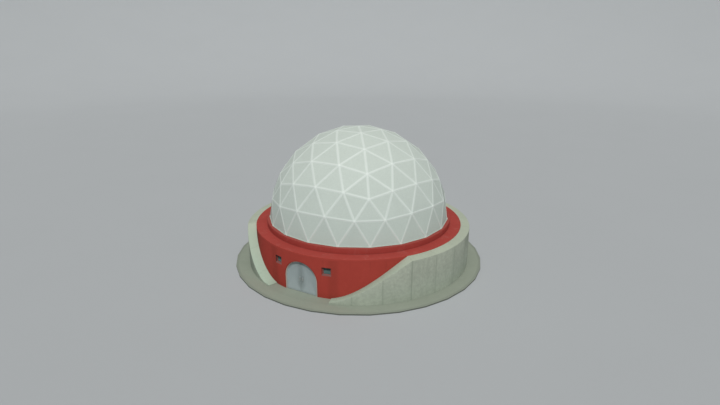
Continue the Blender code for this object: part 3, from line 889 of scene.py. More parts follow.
def round_loft(first: np.ndarray, second: np.ndarray, rows: int, radius: float) -> np.ndarray:
    """Join two curves on a round wall and push the points between them onto its circle.

    Args:
        first: points of the first curve.
        second: as many points of the second curve.
        rows: how many rows of faces lie between them.
        radius: the wall's radius.

    Returns:
        The grid of points.
    """
    grid = loft(first, second, rows)
    grid[..., :2] *= radius / np.linalg.norm(grid[..., :2], axis=-1, keepdims=True)
    return grid


def fan(curve: np.ndarray) -> np.ndarray:
    """Fill a closed curve from the mean of its points."""
    return np.stack([curve, np.broadcast_to(curve[:-1].mean(axis=0), curve.shape)])


def turned_profile(profile: np.ndarray, angles: np.ndarray) -> np.ndarray:
    """Carry a (radius, height) profile round the dome's axis, a row for each of its points."""
    return on_ring(profile[:, :1], angles[None], profile[:, 1:])


def arch(radius: float, rows: int, steps: int) -> np.ndarray:
    """Return the (x, z) outline of an arched opening, from its right foot to its left foot.

    The head is x = r cos(t), z = springing + r sin(t), with t from 0 to pi.

    Args:
        radius: half its width, and the radius of its head.
        rows: steps up each jamb.
        steps: steps round the head.

    Returns:
        The outline.
    """
    right = np.linspace((radius, STANDING), (radius, SPRINGING), rows + 1)[:-1]
    t = np.linspace(0.0, np.pi, steps + 1)
    head = np.stack([radius * np.cos(t), SPRINGING + radius * np.sin(t)], axis=1)
    return np.vstack([right, head, right[::-1] * [-1.0, 1.0]])


def plate_rings(path: Path, profile: np.ndarray) -> np.ndarray:
    """Carry a (inset, depth) profile along an outline that can be inset.

    The ring at inset d and depth h is the outline moved inwards by d, in the plane y = h.

    Args:
        path: gives the closed (x, z) outline for an inset.
        profile: the (inset, depth) pairs.

    Returns:
        The grid of points, a row for each pair.
    """
    return np.stack([np.insert(path(inset), 1, depth, axis=1) for inset, depth in profile])


def rounded_rectangle(width: float, height: float, radius: float) -> Path:
    """Return the insettable outline of a rounded rectangle about the origin.

    Args:
        width: size along x.
        height: size along z.
        radius: corner radius.

    Returns:
        A function from inset to closed outline.
    """

    def path(inset: float) -> np.ndarray:
        """Return the outline moved inwards by the inset."""
        x, z = width / 2.0 - inset, height / 2.0 - inset
        return rounded(np.array([[x, -z], [x, z], [-x, z], [-x, -z]]), max(radius - inset, 0.0005))

    return path


def tube(path: np.ndarray, radius: float, sides: int = 16) -> np.ndarray:
    """Carry a circle along a path that lies in a plane of constant x.

    The ring at a point is the point plus r (cos(t) u + sin(t) v), where u is the x axis and v is
    square to it and to the path.

    Args:
        path: the centre line's points.
        radius: the circle's radius.
        sides: faces round the tube.

    Returns:
        The grid of points, a row for each path point.
    """
    across = np.array([1.0, 0.0, 0.0])
    square = np.cross(unit(np.gradient(path, axis=0)), across)
    turn = np.linspace(0.0, 2.0 * np.pi, sides + 1)
    ring = np.cos(turn)[None, :, None] * across + np.sin(turn)[None, :, None] * square[:, None]
    return path[:, None] + radius * ring


def spokes(axes: np.ndarray, turn: np.ndarray) -> np.ndarray:
    """Return the vectors cos(t) u + sin(t) v, with u and v square to an axis and to each other.

    Args:
        axes: unit vectors.
        turn: the angles t in radians.

    Returns:
        The unit vectors, a row of them for each axis.
    """
    helper = np.where(np.abs(axes[:, 2:]) > 0.9, [[1.0, 0.0, 0.0]], [[0.0, 0.0, 1.0]])
    u = unit(np.cross(helper, axes))
    v = np.cross(axes, u)
    return np.cos(turn)[None, :, None] * u[:, None] + np.sin(turn)[None, :, None] * v[:, None]


def domes(centres: np.ndarray, axes: np.ndarray, profile: np.ndarray, sides: int) -> np.ndarray:
    """Turn one small (radius, height) profile about many axes.

    Args:
        centres: where each one stands.
        axes: the unit vector that each one stands along, or one for all of them.
        profile: the profile from the rim to the top.
        sides: faces round each one.

    Returns:
        The grids of points, one for each centre.
    """
    axes = np.broadcast_to(axes, centres.shape)
    turn = np.linspace(0.0, 2.0 * np.pi, sides + 1)
    out = profile[None, :, :1, None] * spokes(axes, turn)[:, None]
    up = profile[None, :, 1:, None] * axes[:, None, None]
    return centres[:, None, None] + out + up


def head(low: float, rim: tuple[float, float], crown: tuple[float, float]) -> np.ndarray:
    """Return the profile of a round or six-sided head with a bevel and a slightly domed top.

    Args:
        low: the height of its underside.
        rim: the radius and height at which its side ends.
        crown: the radius and height at which its top begins, a millimetre below the middle.

    Returns:
        The (radius, height) points from the underside to the top.
    """
    return np.array([[0.0, low], [rim[0], low], rim, crown, [0.0, crown[1] + 0.001]])


@dataclass
class Skin:
    """Grids of points that are gathered, welded and made one mesh."""

    name: str
    finish: Finish
    points: list[np.ndarray] = field(default_factory=list)
    quads: list[np.ndarray] = field(default_factory=list)
    marks: dict[str, list[np.ndarray]] = field(default_factory=dict)
    count: int = 0

    def lay(self, grid: np.ndarray, **marks: np.ndarray | float) -> "Skin":
        """Add one grid, or a stack of grids of the same size.

        Args:
            grid: points, the last three axes being rows, columns and x, y, z.
            marks: named numbers for the points, broadcast to the grid.

        Returns:
            This skin.
        """
        rows, columns = grid.shape[-3:-1]
        blocks = grid.reshape(-1, rows * columns, 3)
        starts = self.count + np.arange(len(blocks)) * rows * columns
        self.quads.append((grid_quads(rows, columns)[None] + starts[:, None, None]).reshape(-1, 4))
        self.points.append(blocks.reshape(-1, 3))
        for name, mark in marks.items():
            spread = np.broadcast_to(mark, grid.shape[:-1]).reshape(-1)
            self.marks.setdefault(name, []).append(spread.astype(np.float32))
        self.count += len(blocks) * rows * columns
        return self

    def lay_plate(self, grid: np.ndarray) -> "Skin":
        """Add one grid and fill its first and its last row."""
        return self.lay(grid).lay(fan(grid[0])).lay(fan(grid[-1]))

    def lay_length(self, grid: np.ndarray, **marks: np.ndarray | float) -> "Skin":
        """Add one grid and fill its first and its last column.

        Args:
            grid: points in rows and columns.
            marks: named numbers for its points, 0 on the filled ends.

        Returns:
            This skin.
        """
        self.lay(grid, **marks)
        ends = dict.fromkeys(marks, 0.0)
        return self.lay(fan(grid[:, 0]), **ends).lay(fan(grid[:, -1]), **ends)

    def mirrored(self) -> "Skin":
        """Turn every point over to the other side of the door's axis."""
        self.points = [points * [-1.0, 1.0, 1.0] for points in self.points]
        return self

    def welded(self) -> tuple[np.ndarray, np.ndarray, np.ndarray]:
        """Weld points that coincide and drop collapsed faces.

        Returns:
            The points, the faces' corner numbers, with a repeated corner in each triangle, and
            for each point the number of the first point it was made from.
        """
        points = np.vstack(self.points)
        keys = np.floor(points / WELD + WELD_SHIFT).astype(np.int64)
        _, first, number = np.unique(keys, axis=0, return_index=True, return_inverse=True)
        quads = number.reshape(-1)[np.vstack(self.quads)]
        same = quads == np.roll(quads, -1, axis=1)
        crossed = (quads[:, 0] == quads[:, 2]) | (quads[:, 1] == quads[:, 3])
        return points[first], quads[(same.sum(axis=1) < 2) & ~crossed], first

    def mesh(self, closed: bool) -> bpy.types.Mesh:
        """Make the mesh with its marks.

        Args:
            closed: whether the faces are turned outwards as on a closed shape.

        Returns:
            The mesh.
        """
        points, quads, first = self.welded()
        same = quads == np.roll(quads, -1, axis=1)
        whole = ~same.any(axis=1)
        folded = quads[~whole]
        keep = np.ones_like(folded, bool)
        keep[np.arange(len(folded)), same[~whole].argmax(axis=1)] = False
        faces = quads[whole].tolist() + folded[keep].reshape(-1, 3).tolist()
        mesh = bpy.data.meshes.new(self.name)
        mesh.from_pydata(points.tolist(), [], faces)
        for name, parts in self.marks.items():
            mark = mesh.attributes.new(name, "FLOAT", "POINT")
            mark.data.foreach_set("value", np.concatenate(parts)[first])
        if closed:
            shell = bmesh.new()
            shell.from_mesh(mesh)
            bmesh.ops.recalc_face_normals(shell, faces=shell.faces)
            shell.to_mesh(mesh)
            shell.free()
        return mesh

    def build(
        self,
        body: str = "building",
        replaces: tuple[str, ...] = (),
        sharp: float = 35.0,
        closed: bool = True,
    ) -> bpy.types.Object:
        """Make the mesh an object that rides on a body.

        Args:
            body: the body that it moves with, or an empty name for the studio.
            replaces: the CAD nodes that it stands for.
            sharp: edges that bend more than this many degrees stay sharp.
            closed: whether the faces are turned outwards as on a closed shape.

        Returns:
            The object.
        """
        mesh = self.mesh(closed)
        mesh.shade_smooth()
        mesh.set_sharp_from_angle(angle=math.radians(sharp))
        mesh.materials.append(self.finish.material())
        piece = bpy.data.objects.new(self.name, mesh)
        bpy.context.scene.collection.objects.link(piece)
        if body:
            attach(piece, body)
        if replaces:
            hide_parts(*replaces)
        REPORT.info("%s: %d faces", self.name, len(mesh.polygons))
        return piece


def cover_nodes(finish: Finish, *names: str) -> None:
    """Give CAD nodes that keep their shape a finish.

    Args:
        finish: the finish.
        names: the nodes.
    """
    for name in names:
        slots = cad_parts[name].material_slots
        slots[0].material = finish.material()
        REPORT.info("%s: finished as %s", name, finish.name)


# Building


@dataclass
class GeodesicDome:
    """The radome: 160 flanged panels, the bars over their joints, node plates and a foot ring."""

    radius: float = 8.0
    base: float = CURB_TOP + GAP
    frequency: int = 4
    sectors: int = 5
    shell_drop: float = 0.014
    # Inset and depth of the rings of a panel's face, and of its flange and back
    panel_face: tuple[Pair, ...] = (
        (math.inf, -0.010), (0.50, -0.008), (0.30, -0.005), (0.16, -0.001), (0.10, 0.0),
        (0.006, 0.0), (0.0015, 0.004),
    )
    panel_back: tuple[Pair, ...] = (
        (0.0015, 0.090), (0.045, 0.090), (0.049, 0.026), (math.inf, 0.020),
    )
    # How far bars and plates fall for each metre away from their ridge or node
    fold: float = 0.095
    bar_half: float = 0.055
    bar_trim: float = 0.100
    bar_drop: float = 0.004
    bar_round: float = 0.004
    bar_ridge: float = 0.012
    bar_side: float = 0.017
    bar_depth: float = 0.030
    # Distance and lift of the steps of a node plate from its rim to its middle
    plate_steps: tuple[Pair, ...] = (
        (0.120, -0.004), (0.115, 0.0), (0.060, 0.0), (0.048, 0.001), (0.036, 0.003),
        (0.016, 0.004), (0.0, 0.004),
    )
    plate_drop: float = 0.005
    # Depth of its underside in the middle and at the rim
    plate_depth: Pair = (0.034, 0.026)
    half_plate_rise: float = 0.0095
    bolt_circle: float = 0.086
    bolts: int = 6
    # How far the foot angle reaches inside and outside the base's sides, and its web's foot and top
    foot_half: Pair = (0.075, 0.050)
    foot_web: Pair = (0.020, 0.035)
    foot_sheet: float = 0.009
    foot_height: float = 0.060
    foot_bolt_away: float = 0.022
    foot_bolt_reach: float = 6.6

    def corners(self) -> np.ndarray:
        """Divide an icosahedron's upper faces and push their points out to the sphere.

        A point of a face with corners A, B and C is (i A + j B + k C) / 4 with i + j + k = 4,
        divided by its length. The 160 triangles that lie above the equator are kept.

        Returns:
            The unit corners of the triangles, shape (160, 3, 3).
        """
        fifth = 360.0 / self.sectors
        start = np.arange(self.sectors) * fifth
        level = 1.0 / math.sqrt(5.0)
        upper = on_ring(2.0 * level, start + fifth / 2.0, level)
        lower = on_ring(2.0 * level, start + fifth, -level)
        apex = np.broadcast_to(UP, upper.shape)
        ahead = np.roll(upper, -1, axis=0)
        behind = np.roll(lower, 1, axis=0)
        cap = np.stack([apex, upper, ahead], axis=1)
        down = np.stack([lower, ahead, upper], axis=1)
        up = np.stack([upper, behind, lower], axis=1)
        faces = np.stack([cap, down, up], axis=1).reshape(-1, 3, 3)
        points = np.einsum("tcw,fwx->ftcx", self.weights(), faces).reshape(-1, 3, 3)
        points = unit(points)
        return points[(points[..., 2] > -TINY).all(axis=1)]

    def weights(self) -> np.ndarray:
        """Divide one face of the icosahedron into 16 triangles.

        Returns:
            The shares of the face's three corners in each triangle's corners, shape (16, 3, 3).
        """
        n = self.frequency
        i, j = np.meshgrid(np.arange(n), np.arange(n), indexing="ij")
        found = []
        for down, along in (((0, 1, 1), (0, 0, 1)), ((0, 0, 1), (1, 0, 1))):
            rows = np.stack([i + shift for shift in down], axis=-1)
            places = np.stack([j + shift for shift in along], axis=-1)
            weights = np.stack([n - rows, rows - places, places], axis=-1)
            found.append(weights[(weights >= 0).all(axis=(-2, -1))])
        return np.concatenate(found) / n

    def edges(self) -> np.ndarray:
        """Find the edges between the triangles, those on the base left out.

        Returns:
            The unit vectors of each edge's ends, shape (edges, 2, 3).
        """
        corners = self.corners()
        pairs = np.concatenate([corners[:, [0, 1]], corners[:, [1, 2]], corners[:, [2, 0]]])
        _, first = np.unique(np.round(pairs.sum(axis=1), 5), axis=0, return_index=True)
        pairs = pairs[first]
        return pairs[~(pairs[..., 2] < TINY).all(axis=1)]

    def nodes(self) -> np.ndarray:
        """Find the nodes where the bars meet.

        Returns:
            Their unit vectors.
        """
        points = self.corners().reshape(-1, 3)
        _, first = np.unique(np.round(points, 5), axis=0, return_index=True)
        return points[first]

    def raised(self, points: np.ndarray) -> np.ndarray:
        """Lift points from the sphere's centre to the dome's base."""
        return points + self.base * UP

    def build_panels(self) -> None:
        """Build the flanged panels of each fifth of the dome.

        The ring at inset d is the triangle shrunk towards its incentre by d over the inradius,
        and the profile gives how deep that ring lies. A panel is slightly crowned.
        """
        corners = self.corners() * (self.radius - self.shell_drop)
        sides = np.linalg.norm(corners[:, [1, 2, 0]] - corners[:, [2, 0, 1]], axis=-1)
        incentre = (corners * sides[..., None]).sum(axis=1) / sides.sum(axis=1)[:, None]
        normal = np.cross(corners[:, 1] - corners[:, 0], corners[:, 2] - corners[:, 0])
        inradius = np.linalg.norm(normal, axis=1) / sides.sum(axis=1)
        normal = unit(normal) * np.sign((normal * incentre).sum(axis=1))[:, None]
        share = np.linspace(0.0, 1.0, 7)[:-1, None]
        ahead = np.roll(corners, -1, axis=1)
        outline = corners[:, :, None] * (1.0 - share) + ahead[:, :, None] * share
        outline = outline.reshape(len(corners), -1, 3)
        outline = np.concatenate([outline, outline[:, :1]], axis=1)
        profile = np.array(self.panel_face + self.panel_back)
        inset = np.minimum(profile[None, :, 0], inradius[:, None])
        shrink = (1.0 - inset / inradius[:, None])[:, :, None, None]
        rings = incentre[:, None, None] + (outline - incentre[:, None])[:, None] * shrink
        rings -= profile[None, :, 1, None, None] * normal[:, None, None]
        tone = np.random.default_rng(11).uniform(-1.0, 1.0, len(corners))
        fifth = 360.0 / self.sectors
        turn = np.degrees(np.arctan2(incentre[:, 0], -incentre[:, 1]))
        gore = ((turn - fifth / 2.0) % 360.0 // fifth).astype(int)
        for index in range(self.sectors):
            chosen = gore == index
            skin = Skin(f"dome_panels_{index + 1}", PANEL_COAT)
            rim = inset[chosen][:, :, None]
            skin.lay(self.raised(rings[chosen]), tone=tone[chosen][:, None, None], rim=rim)
            skin.build(replaces=(f"dome_shell_{index + 1}",), sharp=25.0)

    def build_bars(self) -> None:
        """Build the battens over the panel joints.

        A batten's profile is carried straight from one node to the next. At a distance x from its
        middle its top falls by the fold times the root of x^2 + ridge^2. Its edges are bevelled.
        """
        ends = self.edges() * self.radius
        along = unit(ends[:, 1] - ends[:, 0])
        out = unit(ends.mean(axis=1))
        across = np.cross(along, out)
        half, edge = self.bar_half, self.bar_half - self.bar_round
        top = np.linspace(-edge, edge, 7)
        crown = np.stack([top, -self.bar_drop - self.fold * np.hypot(top, self.bar_ridge)], axis=1)
        low = -self.bar_depth - self.fold * half
        rim, keel = low + self.bar_side, [0.0, -self.bar_depth]
        left, right = [keel, [-half, low], [-half, rim]], [[half, rim], [half, low], keel]
        profile = np.vstack([left, crown, right])
        section = across[:, None] * profile[None, :, :1] + out[:, None] * profile[None, :, 1:]
        trim = along * self.bar_trim
        places = np.stack([ends[:, 0] + trim, ends[:, 1] - trim], axis=1)
        strips = places[:, :, None] + section[:, None]
        skin = Skin("dome_bars", BAR_PAINT).lay(self.raised(strips))
        for end in (0, 1):
            rims = strips[:, end]
            middle = np.broadcast_to(rims[:, 2:-3].mean(axis=1, keepdims=True), rims.shape)
            skin.lay(self.raised(np.stack([rims, middle], axis=1)))
        skin.build(replaces=("dome_frame",), sharp=40.0)

    def build_nodes(self) -> None:
        """Build the node plates, shallow cones with a cap, and half plates on the foot ring."""
        nodes = self.nodes()
        above = nodes[:, 2] > TINY
        away, lift = np.array(self.plate_steps).T
        cone = np.stack([away, lift - self.plate_drop - away * self.fold], axis=1)
        middle, rim = self.plate_depth
        profile = np.vstack([[[0.0, -middle], [away[0], -rim - away[0] * self.fold]], cone])
        plates = Skin("node_plates", PLATE_PAINT)
        plates.lay(self.raised(domes(nodes[above] * self.radius, nodes[above], profile, 24)))
        for out in nodes[~above]:
            half = self.raised(self.half_plate(out, profile))
            plates.lay(half).lay(fan(np.vstack([half[::-1, 0], half[:, -1]])))
        plates.build(sharp=35.0)
        self.build_bolts(nodes[above])

    def half_plate(self, out: np.ndarray, profile: np.ndarray) -> np.ndarray:
        """Turn a node plate's profile through half a turn, for a node on the foot ring.

        A point is place + distance (cos(t) sideways + sin(t) up) + lift out, t from 0 to pi.

        Args:
            out: the node's unit vector, which is level.
            profile: rows of distance from the axis and lift along it.

        Returns:
            The grid of points, a row for each row of the profile.
        """
        t = np.linspace(0.0, np.pi, 13)
        spread = np.cos(t)[:, None] * np.cross(UP, out) + np.sin(t)[:, None] * UP
        place = out * (self.radius + profile[:, None, 1:]) + UP * self.half_plate_rise
        return place + profile[:, None, :1] * spread

    def build_bolts(self, axes: np.ndarray) -> None:
        """Build a ring of small domed bolt heads on every whole node plate.

        Args:
            axes: unit vectors of the nodes above the base.
        """
        spot = self.bolt_circle
        ring = spokes(axes, (np.arange(self.bolts) + 0.5) * (2.0 * np.pi / self.bolts))
        height = self.radius - self.plate_drop - 0.0005 - spot * self.fold
        places = axes[:, None] * height + spot * ring
        axes = np.repeat(axes, self.bolts, axis=0)
        bolts = Skin("node_bolts", BOLT_STEEL)
        bolt = head(-0.004, (0.011, 0.003), (0.008, 0.005))
        bolts.lay(self.raised(domes(places.reshape(-1, 3), axes, bolt, 6))).build(sharp=50.0)

    def build_foot(self) -> None:
        """Build the angle ring that ties the dome to the curb, carried round the 20-sided base."""
        sides = self.sectors * self.frequency
        half_side = 180.0 / sides
        flat = self.radius * math.cos(math.radians(half_side))
        inner, outer = flat - self.foot_half[0], flat + self.foot_half[1]
        web_foot, web_top = flat - self.foot_web[0], flat - self.foot_web[1]
        sheet, top = self.foot_sheet, self.foot_height
        section = np.array(
            [[inner, 0.0], [outer, 0.0], [outer, sheet]]
            + [[web_foot, sheet], [web_top, top], [inner, top]]
        )
        outline = rounded(section, 0.004, 2)
        outline[:, 0] /= math.cos(math.radians(half_side))
        angles = np.arange(sides + 1) * 2.0 * half_side
        foot = Skin("dome_foot", FLANGE_PAINT).lay(self.raised(turned_profile(outline, angles)))
        foot.build(sharp=30.0)
        between = np.linspace(-self.foot_bolt_reach, self.foot_bolt_reach, 5)
        spots = (angles[:-1, None] + half_side + between[None]).reshape(-1)
        away = (flat + self.foot_bolt_away) / np.cos(np.radians(np.tile(between, sides)))
        places = self.raised(on_ring(away, spots, sheet))
        bolts = Skin("foot_bolts", BOLT_STEEL)
        bolt = head(-0.002, (0.009, 0.004), (0.007, 0.006))
        bolts.lay(domes(places, UP, bolt, 6)).build(sharp=50.0)

    def build(self) -> None:
        """Build the whole dome."""
        self.build_panels()
        self.build_bars()
        self.build_nodes()
        self.build_foot()


@dataclass
class RoundPiece:
    """A length of wall, roof or curb: a closed profile turned about the dome's axis."""

    name: str
    finish: Finish
    profile: np.ndarray
    start: float
    end: float
    step: float = 2.0
    gap: float = 0.0002

    def angles(self) -> np.ndarray:
        """Return the angles of its columns, a gap short of both ends.

        Returns:
            Degrees from the door's axis.
        """
        short = math.degrees(self.gap / self.profile[:, 0].max())
        count = max(2, round((self.end - self.start) / self.step))
        return np.linspace(self.start + short, self.end - short, count + 1)

    def build(self) -> None:
        """Turn the profile and close both ends."""
        skin = Skin(self.name, self.finish).lay_length(turned_profile(self.profile, self.angles()))
        skin.build(replaces=(self.name,), sharp=32.0)


@dataclass
class Drum:
    """The round building under the dome: plain walls, roof ring and curb."""

    dome_inner: float = 7.70
    roof_edges: tuple[float, ...] = (0.001, 0.001, 0.032, 0.010)
    curb_edges: tuple[float, ...] = (0.001, 0.001, 0.042, 0.015)

    def build(self) -> None:
        """Build the walls round the back, the four roof quarters and the two curb halves."""
        wall = box(DRUM_INNER, DRUM_OUTER, STANDING, WALL_TOP)
        wall = np.vstack([wall, wall[:1]])
        roof = box(self.dome_inner, DRUM_OUTER, WALL_TOP + GAP, ROOF_TOP)
        roof = rounded(roof, self.roof_edges, 5)
        curb = box(self.dome_inner, CURB_OUTER, ROOF_TOP + GAP, CURB_TOP)
        curb = rounded(curb, self.curb_edges, 5)
        rounds = [("drum_wall", RED_RENDER, wall, DOOR_SIDE, 6)]
        rounds += [("roof_ring", RED_ROOF, roof, 0.0, 4), ("dome_curb", RED_ROOF, curb, 0.0, 2)]
        for name, finish, profile, start, count in rounds:
            ends = np.linspace(start, 360.0 - start, count + 1)
            for index in range(count):
                RoundPiece(f"{name}_{index + 1}", finish, profile, *ends[index : index + 2]).build()


@dataclass
class FrontWall:
    """The drum's wall with the arched doorway and the two windows, made as one piece."""

    rebate_half: float = 1.56
    rebate_top: float = 2.97
    zone: float = 11.0
    jamb_steps: int = 8
    arc_steps: int = 16

    def heights(self) -> np.ndarray:
        """Return the heights of the points on both upright edges of the doorway's zone."""
        low = np.linspace(STANDING, SPRINGING, self.jamb_steps + 1)
        return np.concatenate([low, np.linspace(SPRINGING, WALL_TOP, self.arc_steps + 1)[1:]])

    def square_opening(self) -> np.ndarray:
        """Return the (x, z) outline of the rebate, with as many points as the arch.

        Returns:
            The outline from its right foot over its square head to its left foot.
        """
        half, top = self.rebate_half, self.rebate_top
        jamb = np.linspace((half, STANDING), (half, SPRINGING), self.jamb_steps + 1)
        rise = np.linspace((half, SPRINGING), (half, top), self.arc_steps + 1)
        over = np.linspace((half, top), (-half, top), 2 * self.arc_steps + 1)
        up = np.vstack([jamb[:-1], rise])
        return np.vstack([up, over[1:-1], up[::-1] * [-1.0, 1.0]])

    def on_wall(self, outline: np.ndarray, radius: float) -> np.ndarray:
        """Project an (x, z) outline straight back onto the wall: y is -sqrt(r^2 - x^2)."""
        x, z = outline.T
        return np.stack([x, -np.sqrt(radius**2 - x**2), z], axis=1)

    def border(self, radius: float) -> np.ndarray:
        """Return the edge of the doorway's zone, matched point by point to the doorway.

        Args:
            radius: the radius of the wall's face.

        Returns:
            The points from the zone's right foot over its top to its left foot.
        """
        run = np.linspace(self.zone, -self.zone, 2 * self.arc_steps + 1)[1:-1]
        right = on_ring(radius, self.zone, self.heights())
        over = on_ring(radius, run, WALL_TOP)
        return np.vstack([right, over, right[::-1] * [-1.0, 1.0, 1.0]])

    def lay_doorway(self, skin: Skin) -> None:
        """Lay the faces round the doorway: wall, arch reveal, square rebate and inner wall.

        Args:
            skin: the wall's skin.
        """
        opening = arch(ARCH_RADIUS, self.jamb_steps, 4 * self.arc_steps)
        square = self.square_opening()
        front = self.on_wall(opening, DRUM_OUTER)
        stop = np.insert(opening, 1, -DOOR_REBATE, axis=1)
        recess = np.insert(square, 1, -DOOR_REBATE, axis=1)
        back = self.on_wall(square, DRUM_INNER)
        outer, inner = self.border(DRUM_OUTER), self.border(DRUM_INNER)
        skin.lay(round_loft(front, outer, 6, DRUM_OUTER))
        skin.lay(loft(front, stop, 2)).lay(loft(stop, recess, 1)).lay(loft(recess, back, 3))
        skin.lay(round_loft(back, inner, 4, DRUM_INNER))
        first = self.jamb_steps + self.arc_steps
        top = slice(first, first + 2 * self.arc_steps + 1)
        skin.lay(loft(outer[top], inner[top], 1))
        for end in (0, -1):
            section = [edge[end] for edge in (front, stop, recess, back, inner, outer, front)]
            skin.lay(fan(np.array(section)))

    def ring(self, radius: float, window: bool) -> np.ndarray:
        """Return the closed edge of a window or of its zone on the wall.

        Args:
            radius: the wall's radius.
            window: whether it is the window's edge, which is cut square through the wall.

        Returns:
            Matching points for either, from the zone's inner foot round.
        """
        if window:
            reach = math.degrees(math.asin(WINDOW_WIDTH / 2.0 / radius))
            low, high = WINDOW_ANGLE - reach, WINDOW_ANGLE + reach
            bottom, top = WINDOW_MIDDLE - WINDOW_HEIGHT / 2.0, WINDOW_MIDDLE + WINDOW_HEIGHT / 2.0
        else:
            low, high, bottom, top = self.zone, DOOR_SIDE, STANDING, WALL_TOP
        rise = (self.heights() - STANDING) / (WALL_TOP - STANDING)
        run = np.linspace(0.0, 1.0, 13)
        along = np.concatenate([0.0 * rise, run[1:], 1.0 + 0.0 * rise[1:], run[-2::-1]])
        up = np.concatenate([rise, 1.0 + 0.0 * run[1:], rise[-2::-1], 0.0 * run[1:]])
        return on_ring(radius, low + along * (high - low), bottom + up * (top - bottom))

    def lay_window(self, skin: Skin, side: Side) -> None:
        """Lay the faces round one window.

        Args:
            skin: the wall's skin.
            side: the window's side of the door.
        """
        turn = [side.value, 1.0, 1.0]
        outer, hole = self.ring(DRUM_OUTER, False), self.ring(DRUM_OUTER, True)
        inner, back = self.ring(DRUM_INNER, False), self.ring(DRUM_INNER, True)
        skin.lay(round_loft(hole, outer, 5, DRUM_OUTER) * turn)
        skin.lay(loft(hole, back, 3) * turn)
        skin.lay(round_loft(back, inner, 3, DRUM_INNER) * turn)
        first = len(self.heights()) - 1
        skin.lay(loft(outer[first:], inner[first:], 1) * turn)

    def build(self) -> None:
        """Build the wall in place of its three solids."""
        skin = Skin("front_wall", RED_RENDER)
        self.lay_doorway(skin)
        for side in Side:
            self.lay_window(skin, side)
        nodes = ("wall_left_of_door", "wall_right_of_door", "wall_over_door")
        skin.build(replaces=nodes, sharp=40.0)


